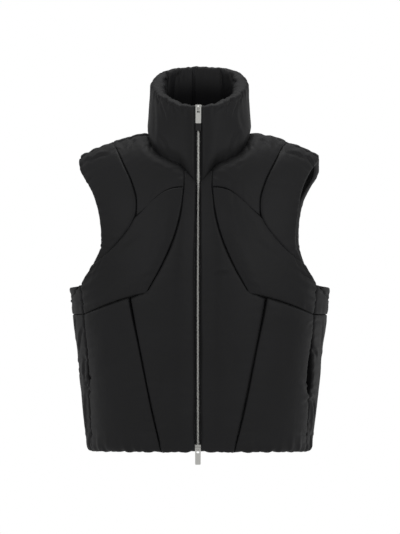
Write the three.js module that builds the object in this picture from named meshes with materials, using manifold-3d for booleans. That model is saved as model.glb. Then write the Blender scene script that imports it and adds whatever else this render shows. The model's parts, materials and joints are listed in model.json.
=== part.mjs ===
// A padded sleeveless jacket with a tall funnel collar and a two-way zip, hollow and filled out as it is
// when worn, with nobody in it. Every cut panel is one closed solid: a plain lining face inside and an
// outer face that swells between the seams. Millimetres, +Z up. The front faces -Y and +X is the
// wearer's left. The origin is in the middle of the neck opening, level with the top of the shoulders.
import * as THREE from "three";
import { mergeVertices } from "three/addons/utils/BufferGeometryUtils.js";
import Module from "manifold-3d";

// Driving dimensions
const SEAM_GAP = 0.3; // between neighbouring pieces along a seam
const SEAM_THICKNESS = 4; // two cloths and flattened filling at a seam
const PADDING = 14; // how far a panel swells above its seams
const SEAM_SHARE = 0.5; // of that, what a seam between two panels keeps
const SWELL_WIDTH = 14; // from a seam to where its panel is fully swollen
const NECK_SWELL_WIDTH = 42; // the same, under the collar's overhang
const ZIP_SWELL_WIDTH = 28; // the same, beside the zip
const HEM_Z = -590; // hem at the sides and back
const HEM_LIFT = 7; // how much higher the hem hangs at the centre front
const RIDGE_TOP = -8; // shoulder line's height, drawn on to the centre
const RIDGE_FALL = 900; // the shoulder line falls by x * x / RIDGE_FALL
const FRONT_ROUND = 110; // how slowly the front falls away forward from the shoulder line
const BACK_ROUND = 60; // the same for the back
const DROP_UNIT = 100; // drop below the shoulder line at tau = 1
const SHOULDER_SEAM_DROP = 2.2; // the shoulder seam lies this far below the shoulder line, in front
const SIDE_SEAM = 115; // degrees round from the centre back, so forward of the side
const HEM_SIDE_SEAM = 108; // the same at the hem
const ZIP_EDGE = 8.5; // half of the gap between the two fronts, which the zip fills

// The lining's outline at each height: half its width, and its depth in front of and behind the side
const BODY = [
  { z: -620, half: 187, front: 114, back: 96 },
  { z: -583, half: 191, front: 116, back: 98 },
  { z: -500, half: 200, front: 121, back: 101 },
  { z: -400, half: 210, front: 125, back: 104 },
  { z: -315, half: 221.5, front: 128, back: 106 },
  { z: -220, half: 228, front: 128, back: 106 },
  { z: -120, half: 228, front: 126, back: 106 },
  { z: 40, half: 226, front: 124, back: 105 },
];

// Seams of the wearer's left front, as they lie seen from the front
const NECKLINE_AT_ZIP = [
  { x: 8.5, z: -98 },
  { x: 17, z: -86 },
  { x: 25, z: -76 },
];
const NECKLINE = [
  { x: 25, z: -76 },
  { x: 32, z: -69 },
  { x: 54, z: -60 },
  { x: 72, z: -50 },
  { x: 83, z: -34 },
];
const STAND_SEAM = [
  { x: 25, z: -76 },
  { x: 25, z: -109 },
];
const CHEST_ARC_MEETS = 4; // the shoulder arc's place where the chest arc ends, counted from its top
const CHEST_ARC = [
  { x: 25, z: -109 },
  { x: 45, z: -109.5 },
  { x: 60, z: -113 },
  { x: 79, z: -126 },
  { x: 97, z: -143 },
  { x: 113.6, z: -160 },
];
const SHOULDER_ARC = [
  { x: 137, z: -66 },
  { x: 120, z: -104 },
  { x: 112.5, z: -134 },
  { x: 113.6, z: -160 },
  { x: 130, z: -190 },
  { x: 155, z: -218 },
  { x: 183.5, z: -247 },
];
const BUST_SEAM = [
  { x: 25, z: -109 },
  { x: 33, z: -161 },
  { x: 47, z: -207 },
  { x: 68, z: -252 },
  { x: 95, z: -299 },
];
const WAIST_SEAM_INNER = [
  { x: 95, z: -299 },
  { x: 124, z: -306 },
];
const WAIST_SEAM_OUTER = [
  { x: 124, z: -306 },
  { x: 147, z: -315 },
  { x: 176, z: -326 },
];
const SKIRT_SEAM = [
  { x: 124, z: -306 },
  { x: 113, z: -366 },
  { x: 102, z: -422 },
  { x: 91, z: -478 },
  { x: 80, z: -528 },
];
const SKIRT_SEAM_AT_HEM = 66; // x
const SHOULDER_ARC_TOP = 156; // x where it meets the shoulder seam
const NECK_POINT = 86.5; // x where the neckline meets the shoulder seam
const SHOULDER_TIP = 216; // x where the armhole meets the shoulder seam
const WAIST_SEAM_SIDE_Z = -337; // where the waist seam crosses the side seams
const ARMHOLE_FRONT = [
  { x: 211.5, z: -78 },
  { x: 202, z: -97 },
  { x: 189.5, z: -120 },
  { x: 178.5, z: -155 },
  { x: 174, z: -192 },
  { x: 175, z: -220 },
  { x: 183.5, z: -247 },
];
const ARMHOLE_FRONT_FOOT = [
  { x: 183.5, z: -247 },
  { x: 192, z: -262 },
];
const UNDERARM_Z = -281; // top of the side seam

// The back armhole by its angle round from the centre back, from the side seam up to the shoulder
const ARMHOLE_BACK_FOOT = [
  { angle: 115, z: -281 },
  { angle: 107, z: -292 },
  { angle: 97, z: -302 },
  { angle: 87, z: -304 },
  { angle: 78, z: -303 },
  { angle: 68, z: -288 },
  { angle: 58.5, z: -256 },
];
const ARMHOLE_BACK = [
  { angle: 58.5, z: -256 },
  { angle: 53.8, z: -219 },
  { angle: 53, z: -175 },
  { angle: 56, z: -133 },
  { angle: 61.5, z: -106 },
  { angle: 69.5, z: -80 },
];
// The shoulder arc's run down the back, and the neckline at the back, seen from behind
const BACK_ARC = [
  { x: 183, z: -250 },
  { x: 150, z: -205 },
  { x: 128, z: -165 },
  { x: 124, z: -125 },
  { x: 134, z: -80 },
  { x: 150, z: -42 },
];
const BACK_NECK = [
  { x: 84, drop: 2.5 },
  { x: 70, drop: 9 },
  { x: 40, drop: 17 },
  { x: 0, drop: 20 },
];

// How many steps each seam is drawn in. Neighbours share a seam's points, so their edges match.
const STEPS = {
  neckAtZip: 5,
  neck: 6,
  stand: 3,
  chestArc: 7,
  arcUpper: 9,
  arcLower: 6,
  shoulderInner: 7,
  shoulderOuter: 7,
  armholeFoot: 6,
  armhole: 15,
  bust: 10,
  waistInner: 3,
  waistOuter: 10,
  skirt: 12,
  sideUpper: 4,
  backArc: 10,
  neckBackHalf: 8,
};

const SPAN_DIVISIONS = 60; // of a seam's curve between two of its places
const EVENING_PASSES = 12; // how often a panel's grid is evened out

// The collar, by its middle surface
const RIM_HALF_WIDTH = 77;
const RIM_HALF_DEPTH = 73;
const COLLAR_CENTRE_Y = -14;
const RIM_FRONT_Z = 45;
const RIM_RISE = 86; // from the front of the rim to its back
const RIM_CLIMB = 0.85; // below 1 the rim climbs sooner on its way back
const COLLAR_OUTER_PAD = 9;
const COLLAR_INNER_PAD = 14;
const COLLAR_LOW = 0.3; // share of the height over which the collar swells above the neckline
const COLLAR_RIM = 0.84; // share of the height where it starts to round over at the rim
const RIM_EDGE = 2; // half of its thickness at the rim's very edge
const RIM_STRAIGHT = 50; // x by which the rim has left the zip's straight edge for its oval
const COLLAR_ROWS = [0, 0.05, 0.12, 0.21, 0.3, 0.48, 0.66, 0.84, 0.91, 0.97, 1];

// The zip
const ZIP_LEVEL = SEAM_THICKNESS / 2; // its middle, out from the lining
const TAPE = { inner: 3.2, outer: 8.35, thickness: 1.4 };
const CHAIN = { half: 2.9, thickness: 3 };
const SLIDER = { chainEnd: 11, wedgeEnd: 13, height: 12, gap: 3.8, plate: 1.7, chamfer: 2 };
const WEDGE = { width: 3.5, from: 2, to: 5.5 };
const BAIL = { width: 2.6, clear: 1.9, metal: 1.4, root: 0.3 };
const PULL = { width: 10, thickness: 1.8, bar: 2.2, slotWidth: 5, slotLength: 8 };
const TOP_PULL_LENGTH = 30;
const BOTTOM_PULL_LENGTH = 31;
const PULL_END = { width: 10.4, length: 13.5, thickness: 3.2 };
const TOP_SLIDER_BELOW_RIM = 5; // the upper slider's middle, down from the rim's front
const BOTTOM_SLIDER_ABOVE_HEM = 3; // the lower slider's middle, up from the hem

// The pockets in the side seams
const POCKET = { top: -368, bottom: -486, gape: 6.5, lap: 7, backLap: 3, depth: 0.5, thickness: 1.5 };
const POCKET_STEPS = { along: 14, across: 4 };

const CLOTH = { color: 0x1c1c1f, roughness: 0.62, metalness: 0 };
const LINING = { color: 0x121214, roughness: 0.7, metalness: 0 };
const TAPE_CLOTH = { color: 0x0d0d0e, roughness: 0.85, metalness: 0 };
const NICKEL = { color: 0xb9b9b4, roughness: 0.3, metalness: 1 };
const BLACK_LEATHER = { color: 0x101011, roughness: 0.5, metalness: 0 };

const radians = THREE.MathUtils.degToRad;
const group = new THREE.Group();

function addPiece(name, finish, geometry, place = new THREE.Vector3()) {
  const mesh = new THREE.Mesh(geometry, new THREE.MeshStandardMaterial(finish));
  mesh.name = name;
  mesh.position.copy(place);
  group.add(mesh);
  return mesh;
}

// The body that the lining follows

// A column of a table at height z, on a smooth curve through its rows.
function smoothColumn(rows, z, column) {
  const last = rows.length - 1;
  const k = THREE.MathUtils.clamp(rows.findIndex((row) => row.z > z) - 1, 0, last - 1);
  const before = rows[Math.max(k - 1, 0)];
  const [low, high] = [rows[k], rows[k + 1]];
  const after = rows[Math.min(k + 2, last)];
  const span = high.z - low.z;
  const t = THREE.MathUtils.clamp((z - low.z) / span, 0, 1);
  const slopeLow = ((high[column] - before[column]) / (high.z - before.z)) * span;
  const slopeHigh = ((after[column] - low[column]) / (after.z - low.z)) * span;
  const [t2, t3] = [t * t, t * t * t];
  return (
    (2 * t3 - 3 * t2 + 1) * low[column] +
    (t3 - 2 * t2 + t) * slopeLow +
    (3 * t2 - 2 * t3) * high[column] +
    (t3 - t2) * slopeHigh
  );
}

const ridge = (x) => RIDGE_TOP - (x * x) / RIDGE_FALL;

// A point of the lining. phi goes round from the centre back (0) by the wearer's left side (90 degrees)
// to the centre front (180). tau goes down from the shoulder line (0), with the drop growing as its
// square, so that the cloth passes over the shoulder smoothly and a negative tau is across it.
function onBody(phi, tau) {
  const drop = DROP_UNIT * tau * tau;
  let z = RIDGE_TOP - drop;
  let x = 0;
  for (let pass = 0; pass < 8; pass += 1) {
    x = smoothColumn(BODY, z, "half") * Math.sin(phi);
    z = ridge(x) - drop;
  }
  const across = Math.cos(phi) * (tau < 0 ? -1 : 1);
  const behind = across >= 0;
  const depth = smoothColumn(BODY, z, behind ? "back" : "front");
  const fullness = Math.sqrt(1 - Math.exp(-drop / (behind ? BACK_ROUND : FRONT_ROUND)));
  return new THREE.Vector3(x, depth * across * fullness, z);
}

// The two directions along the lining at a point, and the one out of it.
function directionsAt(phi, tau) {
  const step = 1e-3;
  const round = onBody(phi + step, tau).sub(onBody(phi - step, tau)).divideScalar(2 * step);
  const down = onBody(phi, tau + step).sub(onBody(phi, tau - step)).divideScalar(2 * step);
  const out = round.clone().cross(down).normalize();
  return { round, down, out };
}

const tauOf = (x, z) => Math.sqrt(Math.max(ridge(x) - z, 0) / DROP_UNIT);
const angleOf = (x, z) => Math.asin(Math.min(Math.abs(x) / smoothColumn(BODY, z, "half"), 1));

// Places on the lining, as (phi, tau)
const seenFromFront = ({ x, z }) => new THREE.Vector2(Math.PI - angleOf(x, z), tauOf(x, z));
const seenFromBehind = ({ x, z }) => new THREE.Vector2(angleOf(x, z), tauOf(x, z));
function around({ angle, z }) {
  const x = smoothColumn(BODY, z, "half") * Math.sin(radians(angle));
  return new THREE.Vector2(radians(angle), tauOf(x, z));
}
const onShoulderSeam = (x) => seenFromFront({ x, z: ridge(x) - SHOULDER_SEAM_DROP });
const acrossShoulder = (place) => new THREE.Vector2(Math.PI - place.x, -place.y);
const hemAt = (angle) =>
  around({ angle, z: HEM_Z + HEM_LIFT * Math.max(-Math.cos(radians(angle)), 0) });
function sideSeamAt(z) {
  const share = THREE.MathUtils.clamp((WAIST_SEAM_SIDE_Z - z) / (WAIST_SEAM_SIDE_Z - HEM_Z), 0, 1);
  return around({ angle: THREE.MathUtils.lerp(SIDE_SEAM, HEM_SIDE_SEAM, share), z });
}
const mirrored = (places) => places.map((place) => new THREE.Vector2(-place.x, place.y));

// A smooth seam through the places given, in equal steps, with both ends kept exactly.
function seam(places, steps, first = 0, last = places.length - 1) {
  const curve = new THREE.CatmullRomCurve3(
    places.map((place) => new THREE.Vector3(place.x, place.y, 0)),
    false,
    "centripetal",
  );
  curve.arcLengthDivisions = SPAN_DIVISIONS * (places.length - 1);
  const lengths = curve.getLengths();
  const [from, to] = [first, last].map((k) => lengths[SPAN_DIVISIONS * k] / lengths[lengths.length - 1]);
  return Array.from({ length: steps + 1 }, (_, k) => {
    if (k === 0) return new THREE.Vector2(places[first].x, places[first].y);
    if (k === steps) return new THREE.Vector2(places[last].x, places[last].y);
    const point = curve.getPointAt(THREE.MathUtils.lerp(from, to, k / steps));
    return new THREE.Vector2(point.x, point.y);
  });
}

const reversed = (places) => [...places].reverse();
const chain = (...parts) => parts.reduce((whole, part) => [...whole, ...part.slice(1)]);

// Solids

// A closed wall between an outer and an inner grid of points with the same rows and columns, where the
// rows go up and the columns go to the right as seen from outside.
function wallBetween(outer, inner) {
  const [rows, columns] = [outer.length, outer[0].length];
  const points = [...outer.flat(), ...inner.flat()];
  const outside = (j, i) => j * columns + i;
  const inside = (j, i) => rows * columns + j * columns + i;
  const triangles = [];
  const quad = (a, b, c, d) => {
    const flatter = points[a].distanceTo(points[c]) <= points[b].distanceTo(points[d]);
    triangles.push(...(flatter ? [[a, b, c], [a, c, d]] : [[a, b, d], [b, c, d]]));
  };
  for (let j = 0; j + 1 < rows; j += 1) {
    for (let i = 0; i + 1 < columns; i += 1) {
      quad(outside(j, i), outside(j, i + 1), outside(j + 1, i + 1), outside(j + 1, i));
      quad(inside(j, i), inside(j + 1, i), inside(j + 1, i + 1), inside(j, i + 1));
    }
  }
  for (let i = 0; i + 1 < columns; i += 1) {
    quad(inside(0, i), inside(0, i + 1), outside(0, i + 1), outside(0, i));
    quad(outside(rows - 1, i), outside(rows - 1, i + 1), inside(rows - 1, i + 1), inside(rows - 1, i));
  }
  for (let j = 0; j + 1 < rows; j += 1) {
    quad(inside(j + 1, 0), inside(j, 0), outside(j, 0), outside(j + 1, 0));
    const last = columns - 1;
    quad(inside(j, last), inside(j + 1, last), outside(j + 1, last), outside(j, last));
  }
  return closedGeometry(points, triangles);
}

// Points that coincide become one, and triangles that this leaves with no area are dropped.
function closedGeometry(points, triangles) {
  const known = new Map();
  const kept = [];
  const indexOf = points.map((point) => {
    const key = point.toArray().map((value) => value.toFixed(3)).join();
    if (!known.has(key)) {
      known.set(key, kept.length);
      kept.push(point);
    }
    return known.get(key);
  });
  const index = triangles
    .map((triangle) => triangle.map((corner) => indexOf[corner]))
    .filter(([a, b, c]) => a !== b && b !== c && c !== a);
  const geometry = new THREE.BufferGeometry().setFromPoints(kept);
  geometry.setIndex(index.flat());
  geometry.computeVertexNormals();
  return geometry;
}

// The same piece on the wearer's other side.
function mirroredGeometry(geometry) {
  const other = geometry.clone();
  const position = other.getAttribute("position");
  for (let k = 0; k < position.count; k += 1) position.setX(k, -position.getX(k));
  const corners = other.getIndex();
  for (let k = 0; k < corners.count; k += 3) {
    const second = corners.getX(k + 1);
    corners.setX(k + 1, corners.getX(k + 2));
    corners.setX(k + 2, second);
  }
  other.computeVertexNormals();
  return other;
}

// Moves a panel's closed outline in by half of the seam gap, with its corners mitred.
function insetOutline(outline) {
  const spots = outline.map((place) => onBody(place.x, place.y));
  return outline.map((place, k) => {
    const { round, down, out } = directionsAt(place.x, place.y);
    const inwardOf = (a, b) => out.clone().cross(b.clone().sub(a)).normalize();
    const before = inwardOf(spots[(k + spots.length - 1) % spots.length], spots[k]);
    const after = inwardOf(spots[k], spots[(k + 1) % spots.length]);
    const move = before.clone().add(after).multiplyScalar(SEAM_GAP / 2 / (1 + before.dot(after)));
    // The move in (phi, tau), from its shares along the two directions of the lining
    const [rr, rd, dd] = [round.dot(round), round.dot(down), down.dot(down)];
    const [mr, md] = [move.dot(round), move.dot(down)];
    const area = rr * dd - rd * rd;
    return new THREE.Vector2(
      place.x + (mr * dd - md * rd) / area,
      place.y + (md * rr - mr * rd) / area,
    );
  });
}

const samePlace = (a, b) => a.distanceTo(b) < 1e-9;

// A panel's sides after the inset. bottom and top run to the right as seen from outside, left and right
// run up. A side may be one point repeated, which makes the panel three-sided.
function insetSides({ bottom, right, top, left }) {
  const loop = [...bottom, ...right.slice(1), ...reversed(top).slice(1), ...reversed(left).slice(1, -1)];
  const distinct = loop.filter((place, k) => !samePlace(place, loop[(k + loop.length - 1) % loop.length]));
  const moved = insetOutline(distinct);
  const find = (place) => moved[distinct.findIndex((other) => samePlace(place, other))];
  return { bottom: bottom.map(find), right: right.map(find), top: top.map(find), left: left.map(find) };
}

// A grid of places that fills the outline between four sides, evened out inside it.
function gridBetween({ bottom, right, top, left }) {
  const [rows, columns] = [left.length, bottom.length];
  const grid = left.map((leftPlace, j) =>
    bottom.map((bottomPlace, i) => {
      const [u, v] = [i / (columns - 1), j / (rows - 1)];
      const mix = (axis) =>
        (1 - v) * bottomPlace[axis] + v * top[i][axis] +
        (1 - u) * leftPlace[axis] + u * right[j][axis] -
        (1 - u) * ((1 - v) * bottom[0][axis] + v * top[0][axis]) -
        u * ((1 - v) * bottom[columns - 1][axis] + v * top[columns - 1][axis]);
      return new THREE.Vector2(mix("x"), mix("y"));
    }),
  );
  for (let pass = 0; pass < EVENING_PASSES; pass += 1) {
    for (let j = 1; j + 1 < rows; j += 1) {
      for (let i = 1; i + 1 < columns; i += 1) {
        const neighbours = grid[j - 1][i].clone().add(grid[j + 1][i]).add(grid[j][i - 1]).add(grid[j][i + 1]);
        grid[j][i].copy(neighbours.divideScalar(4));
      }
    }
  }
  return grid;
}

// How far a panel has swollen at a distance from its seam, from 0 to 1. Steep at the seam, then level.
const swell = (distance, width) => Math.sqrt(1 - (1 - Math.min(distance / width, 1)) ** 2);
// The share of it that a panel keeps where it runs in under the collar, which leaves no room.
function underCollar(spot) {
  const distance = Math.min(...neckSpots.map((neckSpot) => neckSpot.distanceTo(spot)));
  return Math.sin((Math.PI / 2) * Math.min(distance / NECK_SWELL_WIDTH, 1));
}

// One padded panel. The swelling is the product of what its seams, its flat edge and the neckline allow.
// Its left side is flat where it meets the zip.
function paddedPanel(sides, meetsZip = false) {
  const places = gridBetween(insetSides(sides));
  const inner = places.map((row) => row.map((place) => onBody(place.x, place.y)));
  const [rows, columns] = [inner.length, inner[0].length];
  const along = (line) => {
    const runs = [0];
    for (let k = 1; k < line.length; k += 1) runs.push(runs[k - 1] + line[k].distanceTo(line[k - 1]));
    return runs;
  };
  const across = inner.map(along);
  const up = inner[0].map((_, i) => along(inner.map((row) => row[i])));
  const outer = places.map((row, j) =>
    row.map((place, i) => {
      const [fromLeft, fromRight] = [across[j][i], across[j][columns - 1] - across[j][i]];
      const [fromBottom, fromTop] = [up[i][j], up[i][rows - 1] - up[i][j]];
      const seams = [fromRight, fromBottom, fromTop, ...(meetsZip ? [] : [fromLeft])];
      const free = seams.reduce((share, distance) => share * swell(distance, SWELL_WIDTH), 1);
      const nearZip = meetsZip ? swell(fromLeft, ZIP_SWELL_WIDTH) : 1;
      const swollen = (SEAM_SHARE + (1 - SEAM_SHARE) * free) * nearZip * underCollar(inner[j][i]);
      const { out } = directionsAt(place.x, place.y);
      return inner[j][i].clone().addScaledVector(out, SEAM_THICKNESS + PADDING * swollen);
    }),
  );
  return wallBetween(outer, inner);
}

// Seams, each drawn once and shared by the panels on its two sides
const shoulderArcTop = onShoulderSeam(SHOULDER_ARC_TOP);
const neckPoint = onShoulderSeam(NECK_POINT);
const shoulderTip = onShoulderSeam(SHOULDER_TIP);
const wholeArc = [shoulderArcTop, ...SHOULDER_ARC.map(seenFromFront)];
const shoulderArc = seam(wholeArc, STEPS.arcUpper, 0, CHEST_ARC_MEETS);
const arcFoot = seam(wholeArc, STEPS.arcLower, CHEST_ARC_MEETS);
const chestArc = seam(CHEST_ARC.map(seenFromFront), STEPS.chestArc);
const neckAtZip = seam(NECKLINE_AT_ZIP.map(seenFromFront), STEPS.neckAtZip);
const neckFront = seam([...NECKLINE.map(seenFromFront), neckPoint], STEPS.neck);
const standSeam = seam(STAND_SEAM.map(seenFromFront), STEPS.stand);
const bustSeam = seam(BUST_SEAM.map(seenFromFront), STEPS.bust);
const waistInner = seam(WAIST_SEAM_INNER.map(seenFromFront), STEPS.waistInner);
const waistOuter = seam(
  [...WAIST_SEAM_OUTER.map(seenFromFront), sideSeamAt(WAIST_SEAM_SIDE_Z)],
  STEPS.waistOuter,
);
const skirtFoot = around({
  angle: 180 - THREE.MathUtils.radToDeg(angleOf(SKIRT_SEAM_AT_HEM, HEM_Z)),
  z: HEM_Z + HEM_LIFT,
});
const skirtSeam = seam([...SKIRT_SEAM.map(seenFromFront), skirtFoot], STEPS.skirt);
const shoulderInner = seam(
  [neckPoint, onShoulderSeam((NECK_POINT + SHOULDER_ARC_TOP) / 2), shoulderArcTop],
  STEPS.shoulderInner,
);
const shoulderOuter = seam(
  [shoulderArcTop, onShoulderSeam((SHOULDER_TIP + SHOULDER_ARC_TOP) / 2), shoulderTip],
  STEPS.shoulderOuter,
);
const armholeFront = seam([shoulderTip, ...ARMHOLE_FRONT.map(seenFromFront)], STEPS.armhole);
const underarm = sideSeamAt(UNDERARM_Z);
const armholeFrontFoot = seam([...ARMHOLE_FRONT_FOOT.map(seenFromFront), underarm], STEPS.armholeFoot);
const sideUpper = seam([underarm, sideSeamAt(WAIST_SEAM_SIDE_Z)], STEPS.sideUpper);
const sideLower = seam([sideSeamAt(WAIST_SEAM_SIDE_Z), sideSeamAt(-460), hemAt(HEM_SIDE_SEAM)], STEPS.skirt);
const zipEdgeTop = neckAtZip[0];
const zipEdgeFoot = around({
  angle: 180 - THREE.MathUtils.radToDeg(angleOf(ZIP_EDGE, HEM_Z)),
  z: HEM_Z + HEM_LIFT,
});

const hemBetween = (from, to, steps) => {
  const degrees = THREE.MathUtils.radToDeg;
  return Array.from({ length: steps + 1 }, (_, k) =>
    hemAt(degrees(THREE.MathUtils.lerp(from.x, to.x, k / steps))),
  );
};
const hemInner = hemBetween(hemAt(THREE.MathUtils.radToDeg(zipEdgeFoot.x)), skirtFoot, STEPS.neckAtZip);
const hemOuter = hemBetween(skirtFoot, hemAt(HEM_SIDE_SEAM), STEPS.waistOuter);
skirtSeam[skirtSeam.length - 1] = hemOuter[0].clone();
hemInner[hemInner.length - 1] = hemOuter[0].clone();
hemOuter[hemOuter.length - 1] = sideLower[sideLower.length - 1].clone();

// The pocket mouth: the front panel's side edge stands back from the back panel's over its length.
function pocketEdge(places) {
  return places.map((place) => {
    const z = onBody(place.x, place.y).z;
    const share = THREE.MathUtils.clamp((z - POCKET.bottom) / (POCKET.top - POCKET.bottom), 0, 1);
    const open = POCKET.gape * Math.sin(Math.PI * share) ** 0.6;
    const { round } = directionsAt(place.x, place.y);
    return new THREE.Vector2(place.x + open / round.length(), place.y);
  });
}

// Zip edge of the centre front, its points level with those of the panel's other edge.
function zipEdge(other) {
  const spots = other.map((place) => onBody(place.x, place.y));
  const runs = [0];
  for (let k = 1; k < spots.length; k += 1) runs.push(runs[k - 1] + spots[k].distanceTo(spots[k - 1]));
  const [low, high] = [onBody(hemInner[0].x, hemInner[0].y).z, onBody(zipEdgeTop.x, zipEdgeTop.y).z];
  const places = runs.map((run) =>
    seenFromFront({ x: ZIP_EDGE, z: THREE.MathUtils.lerp(low, high, run / runs[runs.length - 1]) }),
  );
  places[0] = hemInner[0].clone();
  places[places.length - 1] = zipEdgeTop.clone();
  return places;
}

const centreOuterEdge = chain(...[skirtSeam, waistInner, bustSeam, standSeam].map(reversed));

// Seams of the back. Seen from behind, the wearer's left side is on the left.
const shoulderInnerBack = shoulderInner.map(acrossShoulder);
const shoulderOuterBack = shoulderOuter.map(acrossShoulder);
const armholeBackFoot = seam(ARMHOLE_BACK_FOOT.map(around), STEPS.armholeFoot);
const armholeBack = seam(
  [...ARMHOLE_BACK.map(around), shoulderOuterBack[shoulderOuterBack.length - 1]],
  STEPS.backArc,
);
const backArc = seam(
  [armholeBack[0], ...BACK_ARC.slice(1).map(seenFromBehind), shoulderInnerBack[shoulderInnerBack.length - 1]],
  STEPS.backArc,
);
const neckBackHalf = seam(
  [shoulderInnerBack[0], ...BACK_NECK.map(({ x, drop }) => seenFromBehind({ x, z: ridge(x) - drop }))],
  STEPS.neckBackHalf,
);
const waistBack = levelRing(WAIST_SEAM_SIDE_Z);
const backUpperLeft = chain(reversed(sideUpper), armholeBackFoot, backArc);
const backUpperTopHalf = chain(reversed(shoulderInnerBack), neckBackHalf);
const backUpperTop = chain(backUpperTopHalf, reversed(mirrored(backUpperTopHalf)));
const sideLowerBack = reversed(sideLower);
const hemBack = hemBetween(sideLowerBack[0], mirrored([sideLowerBack[0]])[0], waistBack.length - 1);

// A level line round the back from one side seam to the other, dipping a little at the centre back.
function levelRing(z) {
  const steps = 2 * (STEPS.shoulderInner + STEPS.neckBackHalf);
  return Array.from({ length: steps + 1 }, (_, k) =>
    around({ angle: THREE.MathUtils.lerp(SIDE_SEAM, -SIDE_SEAM, k / steps), z }),
  );
}

// The collar stands on the neckline, which runs from zip edge to zip edge round the back.
const neckHalf = chain(neckAtZip, neckFront, neckBackHalf);
const neckline = chain(neckHalf, reversed(mirrored(neckHalf)));
const neckSpots = neckline.map((place) => onBody(place.x, place.y));

const FRONT_PANELS = {
  front_center: paddedPanel(
    { bottom: hemInner, right: centreOuterEdge, top: neckAtZip, left: zipEdge(centreOuterEdge) },
    true,
  ),
  front_yoke: paddedPanel({
    bottom: chestArc,
    right: reversed(shoulderArc),
    top: shoulderInner,
    left: chain(reversed(standSeam), neckFront),
  }),
  front_shoulder: paddedPanel({
    bottom: shoulderOuter.map(() => arcFoot[arcFoot.length - 1]),
    right: reversed(armholeFront),
    top: shoulderOuter,
    left: reversed(chain(shoulderArc, arcFoot)),
  }),
  front_chest: paddedPanel({
    bottom: chain(waistInner, waistOuter),
    right: reversed(chain(armholeFrontFoot, sideUpper)),
    top: chain(chestArc, arcFoot),
    left: reversed(bustSeam),
  }),
  front_side: paddedPanel({
    bottom: hemOuter,
    right: pocketEdge(reversed(sideLower)),
    top: waistOuter,
    left: reversed(skirtSeam),
  }),
};

for (const [name, geometry] of Object.entries(FRONT_PANELS)) {
  addPiece(`${name}_l`, CLOTH, geometry);
  addPiece(`${name}_r`, CLOTH, mirroredGeometry(geometry));
}

addPiece("back_upper", CLOTH, paddedPanel(
  { bottom: waistBack, right: mirrored(backUpperLeft), top: backUpperTop, left: backUpperLeft },
));
addPiece("back_lower", CLOTH, paddedPanel(
  { bottom: hemBack, right: mirrored(sideLowerBack), top: waistBack, left: sideLowerBack },
));
const backShoulder = paddedPanel({
  bottom: shoulderOuterBack.map(() => armholeBack[0]),
  right: backArc,
  top: reversed(shoulderOuterBack),
  left: armholeBack,
});
addPiece("back_shoulder_l", CLOTH, backShoulder);
addPiece("back_shoulder_r", CLOTH, mirroredGeometry(backShoulder));

// The strip of cloth behind each pocket mouth, just inside the lining.
function pocketFacing() {
  const rows = Array.from({ length: POCKET_STEPS.along + 1 }, (_, j) => {
    const share = j / POCKET_STEPS.along;
    const z = THREE.MathUtils.lerp(POCKET.bottom - POCKET.lap, POCKET.top + POCKET.lap, share);
    const seamPlace = sideSeamAt(z);
    const perMillimetre = 1 / directionsAt(seamPlace.x, seamPlace.y).round.length();
    return Array.from({ length: POCKET_STEPS.across + 1 }, (__, i) => {
      const ahead = THREE.MathUtils.lerp(POCKET.gape + POCKET.lap, -POCKET.backLap, i / POCKET_STEPS.across);
      return new THREE.Vector2(seamPlace.x + ahead * perMillimetre, seamPlace.y);
    });
  });
  const shifted = (depth) =>
    rows.map((row) =>
      row.map((place) =>
        onBody(place.x, place.y).addScaledVector(directionsAt(place.x, place.y).out, -depth),
      ),
    );
  return wallBetween(shifted(POCKET.depth), shifted(POCKET.depth + POCKET.thickness));
}

const facing = pocketFacing();
addPiece("pocket_facing_l", LINING, facing);
addPiece("pocket_facing_r", LINING, mirroredGeometry(facing));

// The collar's two lower corners at each point of the neckline, at the lining and outside.
const collarFoot = neckline.map((place, i) => {
  const ahead = neckSpots[Math.min(i + 1, neckSpots.length - 1)];
  const back = neckSpots[Math.max(i - 1, 0)];
  const { out } = directionsAt(place.x, place.y);
  const up = out.clone().cross(ahead.clone().sub(back)).normalize();
  const inner = neckSpots[i].clone().addScaledVector(up, SEAM_GAP / 2);
  return { inner, outer: inner.clone().addScaledVector(out, SEAM_THICKNESS) };
});

// The rim's place above each point of the neckline, and its direction outward.
const frontReach = COLLAR_CENTRE_Y - neckSpots[0].y;
const backReach = neckSpots[neckHalf.length - 1].y - COLLAR_CENTRE_Y;
const zipTurn = Math.atan2(ZIP_EDGE / NECK_POINT, 1);
const zipEdgeX = ZIP_EDGE + SEAM_GAP / 2;
const collarRim = neckSpots.map((spot) => {
  const forward = COLLAR_CENTRE_Y - spot.y;
  const turn = Math.atan2(Math.abs(spot.x) / NECK_POINT, forward / (forward > 0 ? frontReach : backReach));
  const straighten =
    (zipEdgeX - RIM_HALF_WIDTH * Math.sin(zipTurn)) *
    (1 - THREE.MathUtils.smoothstep(Math.abs(spot.x), ZIP_EDGE, RIM_STRAIGHT));
  const onFront = forward > 0 ? straighten : 0;
  const side = Math.sign(spot.x) || 1;
  return {
    spot: new THREE.Vector3(
      side * (RIM_HALF_WIDTH * Math.sin(turn) + onFront),
      COLLAR_CENTRE_Y - RIM_HALF_DEPTH * Math.cos(turn),
      RIM_FRONT_Z + RIM_RISE * ((1 - Math.cos(turn)) / 2) ** RIM_CLIMB,
    ),
    out: new THREE.Vector3(
      (side * Math.sin(turn)) / RIM_HALF_WIDTH,
      -Math.cos(turn) / RIM_HALF_DEPTH,
      0,
    ).normalize(),
  };
});

const collarMiddle = COLLAR_ROWS.map((height) =>
  collarFoot.map((foot, i) =>
    foot.inner.clone().add(foot.outer).divideScalar(2).lerp(collarRim[i].spot, height),
  ),
);

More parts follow.
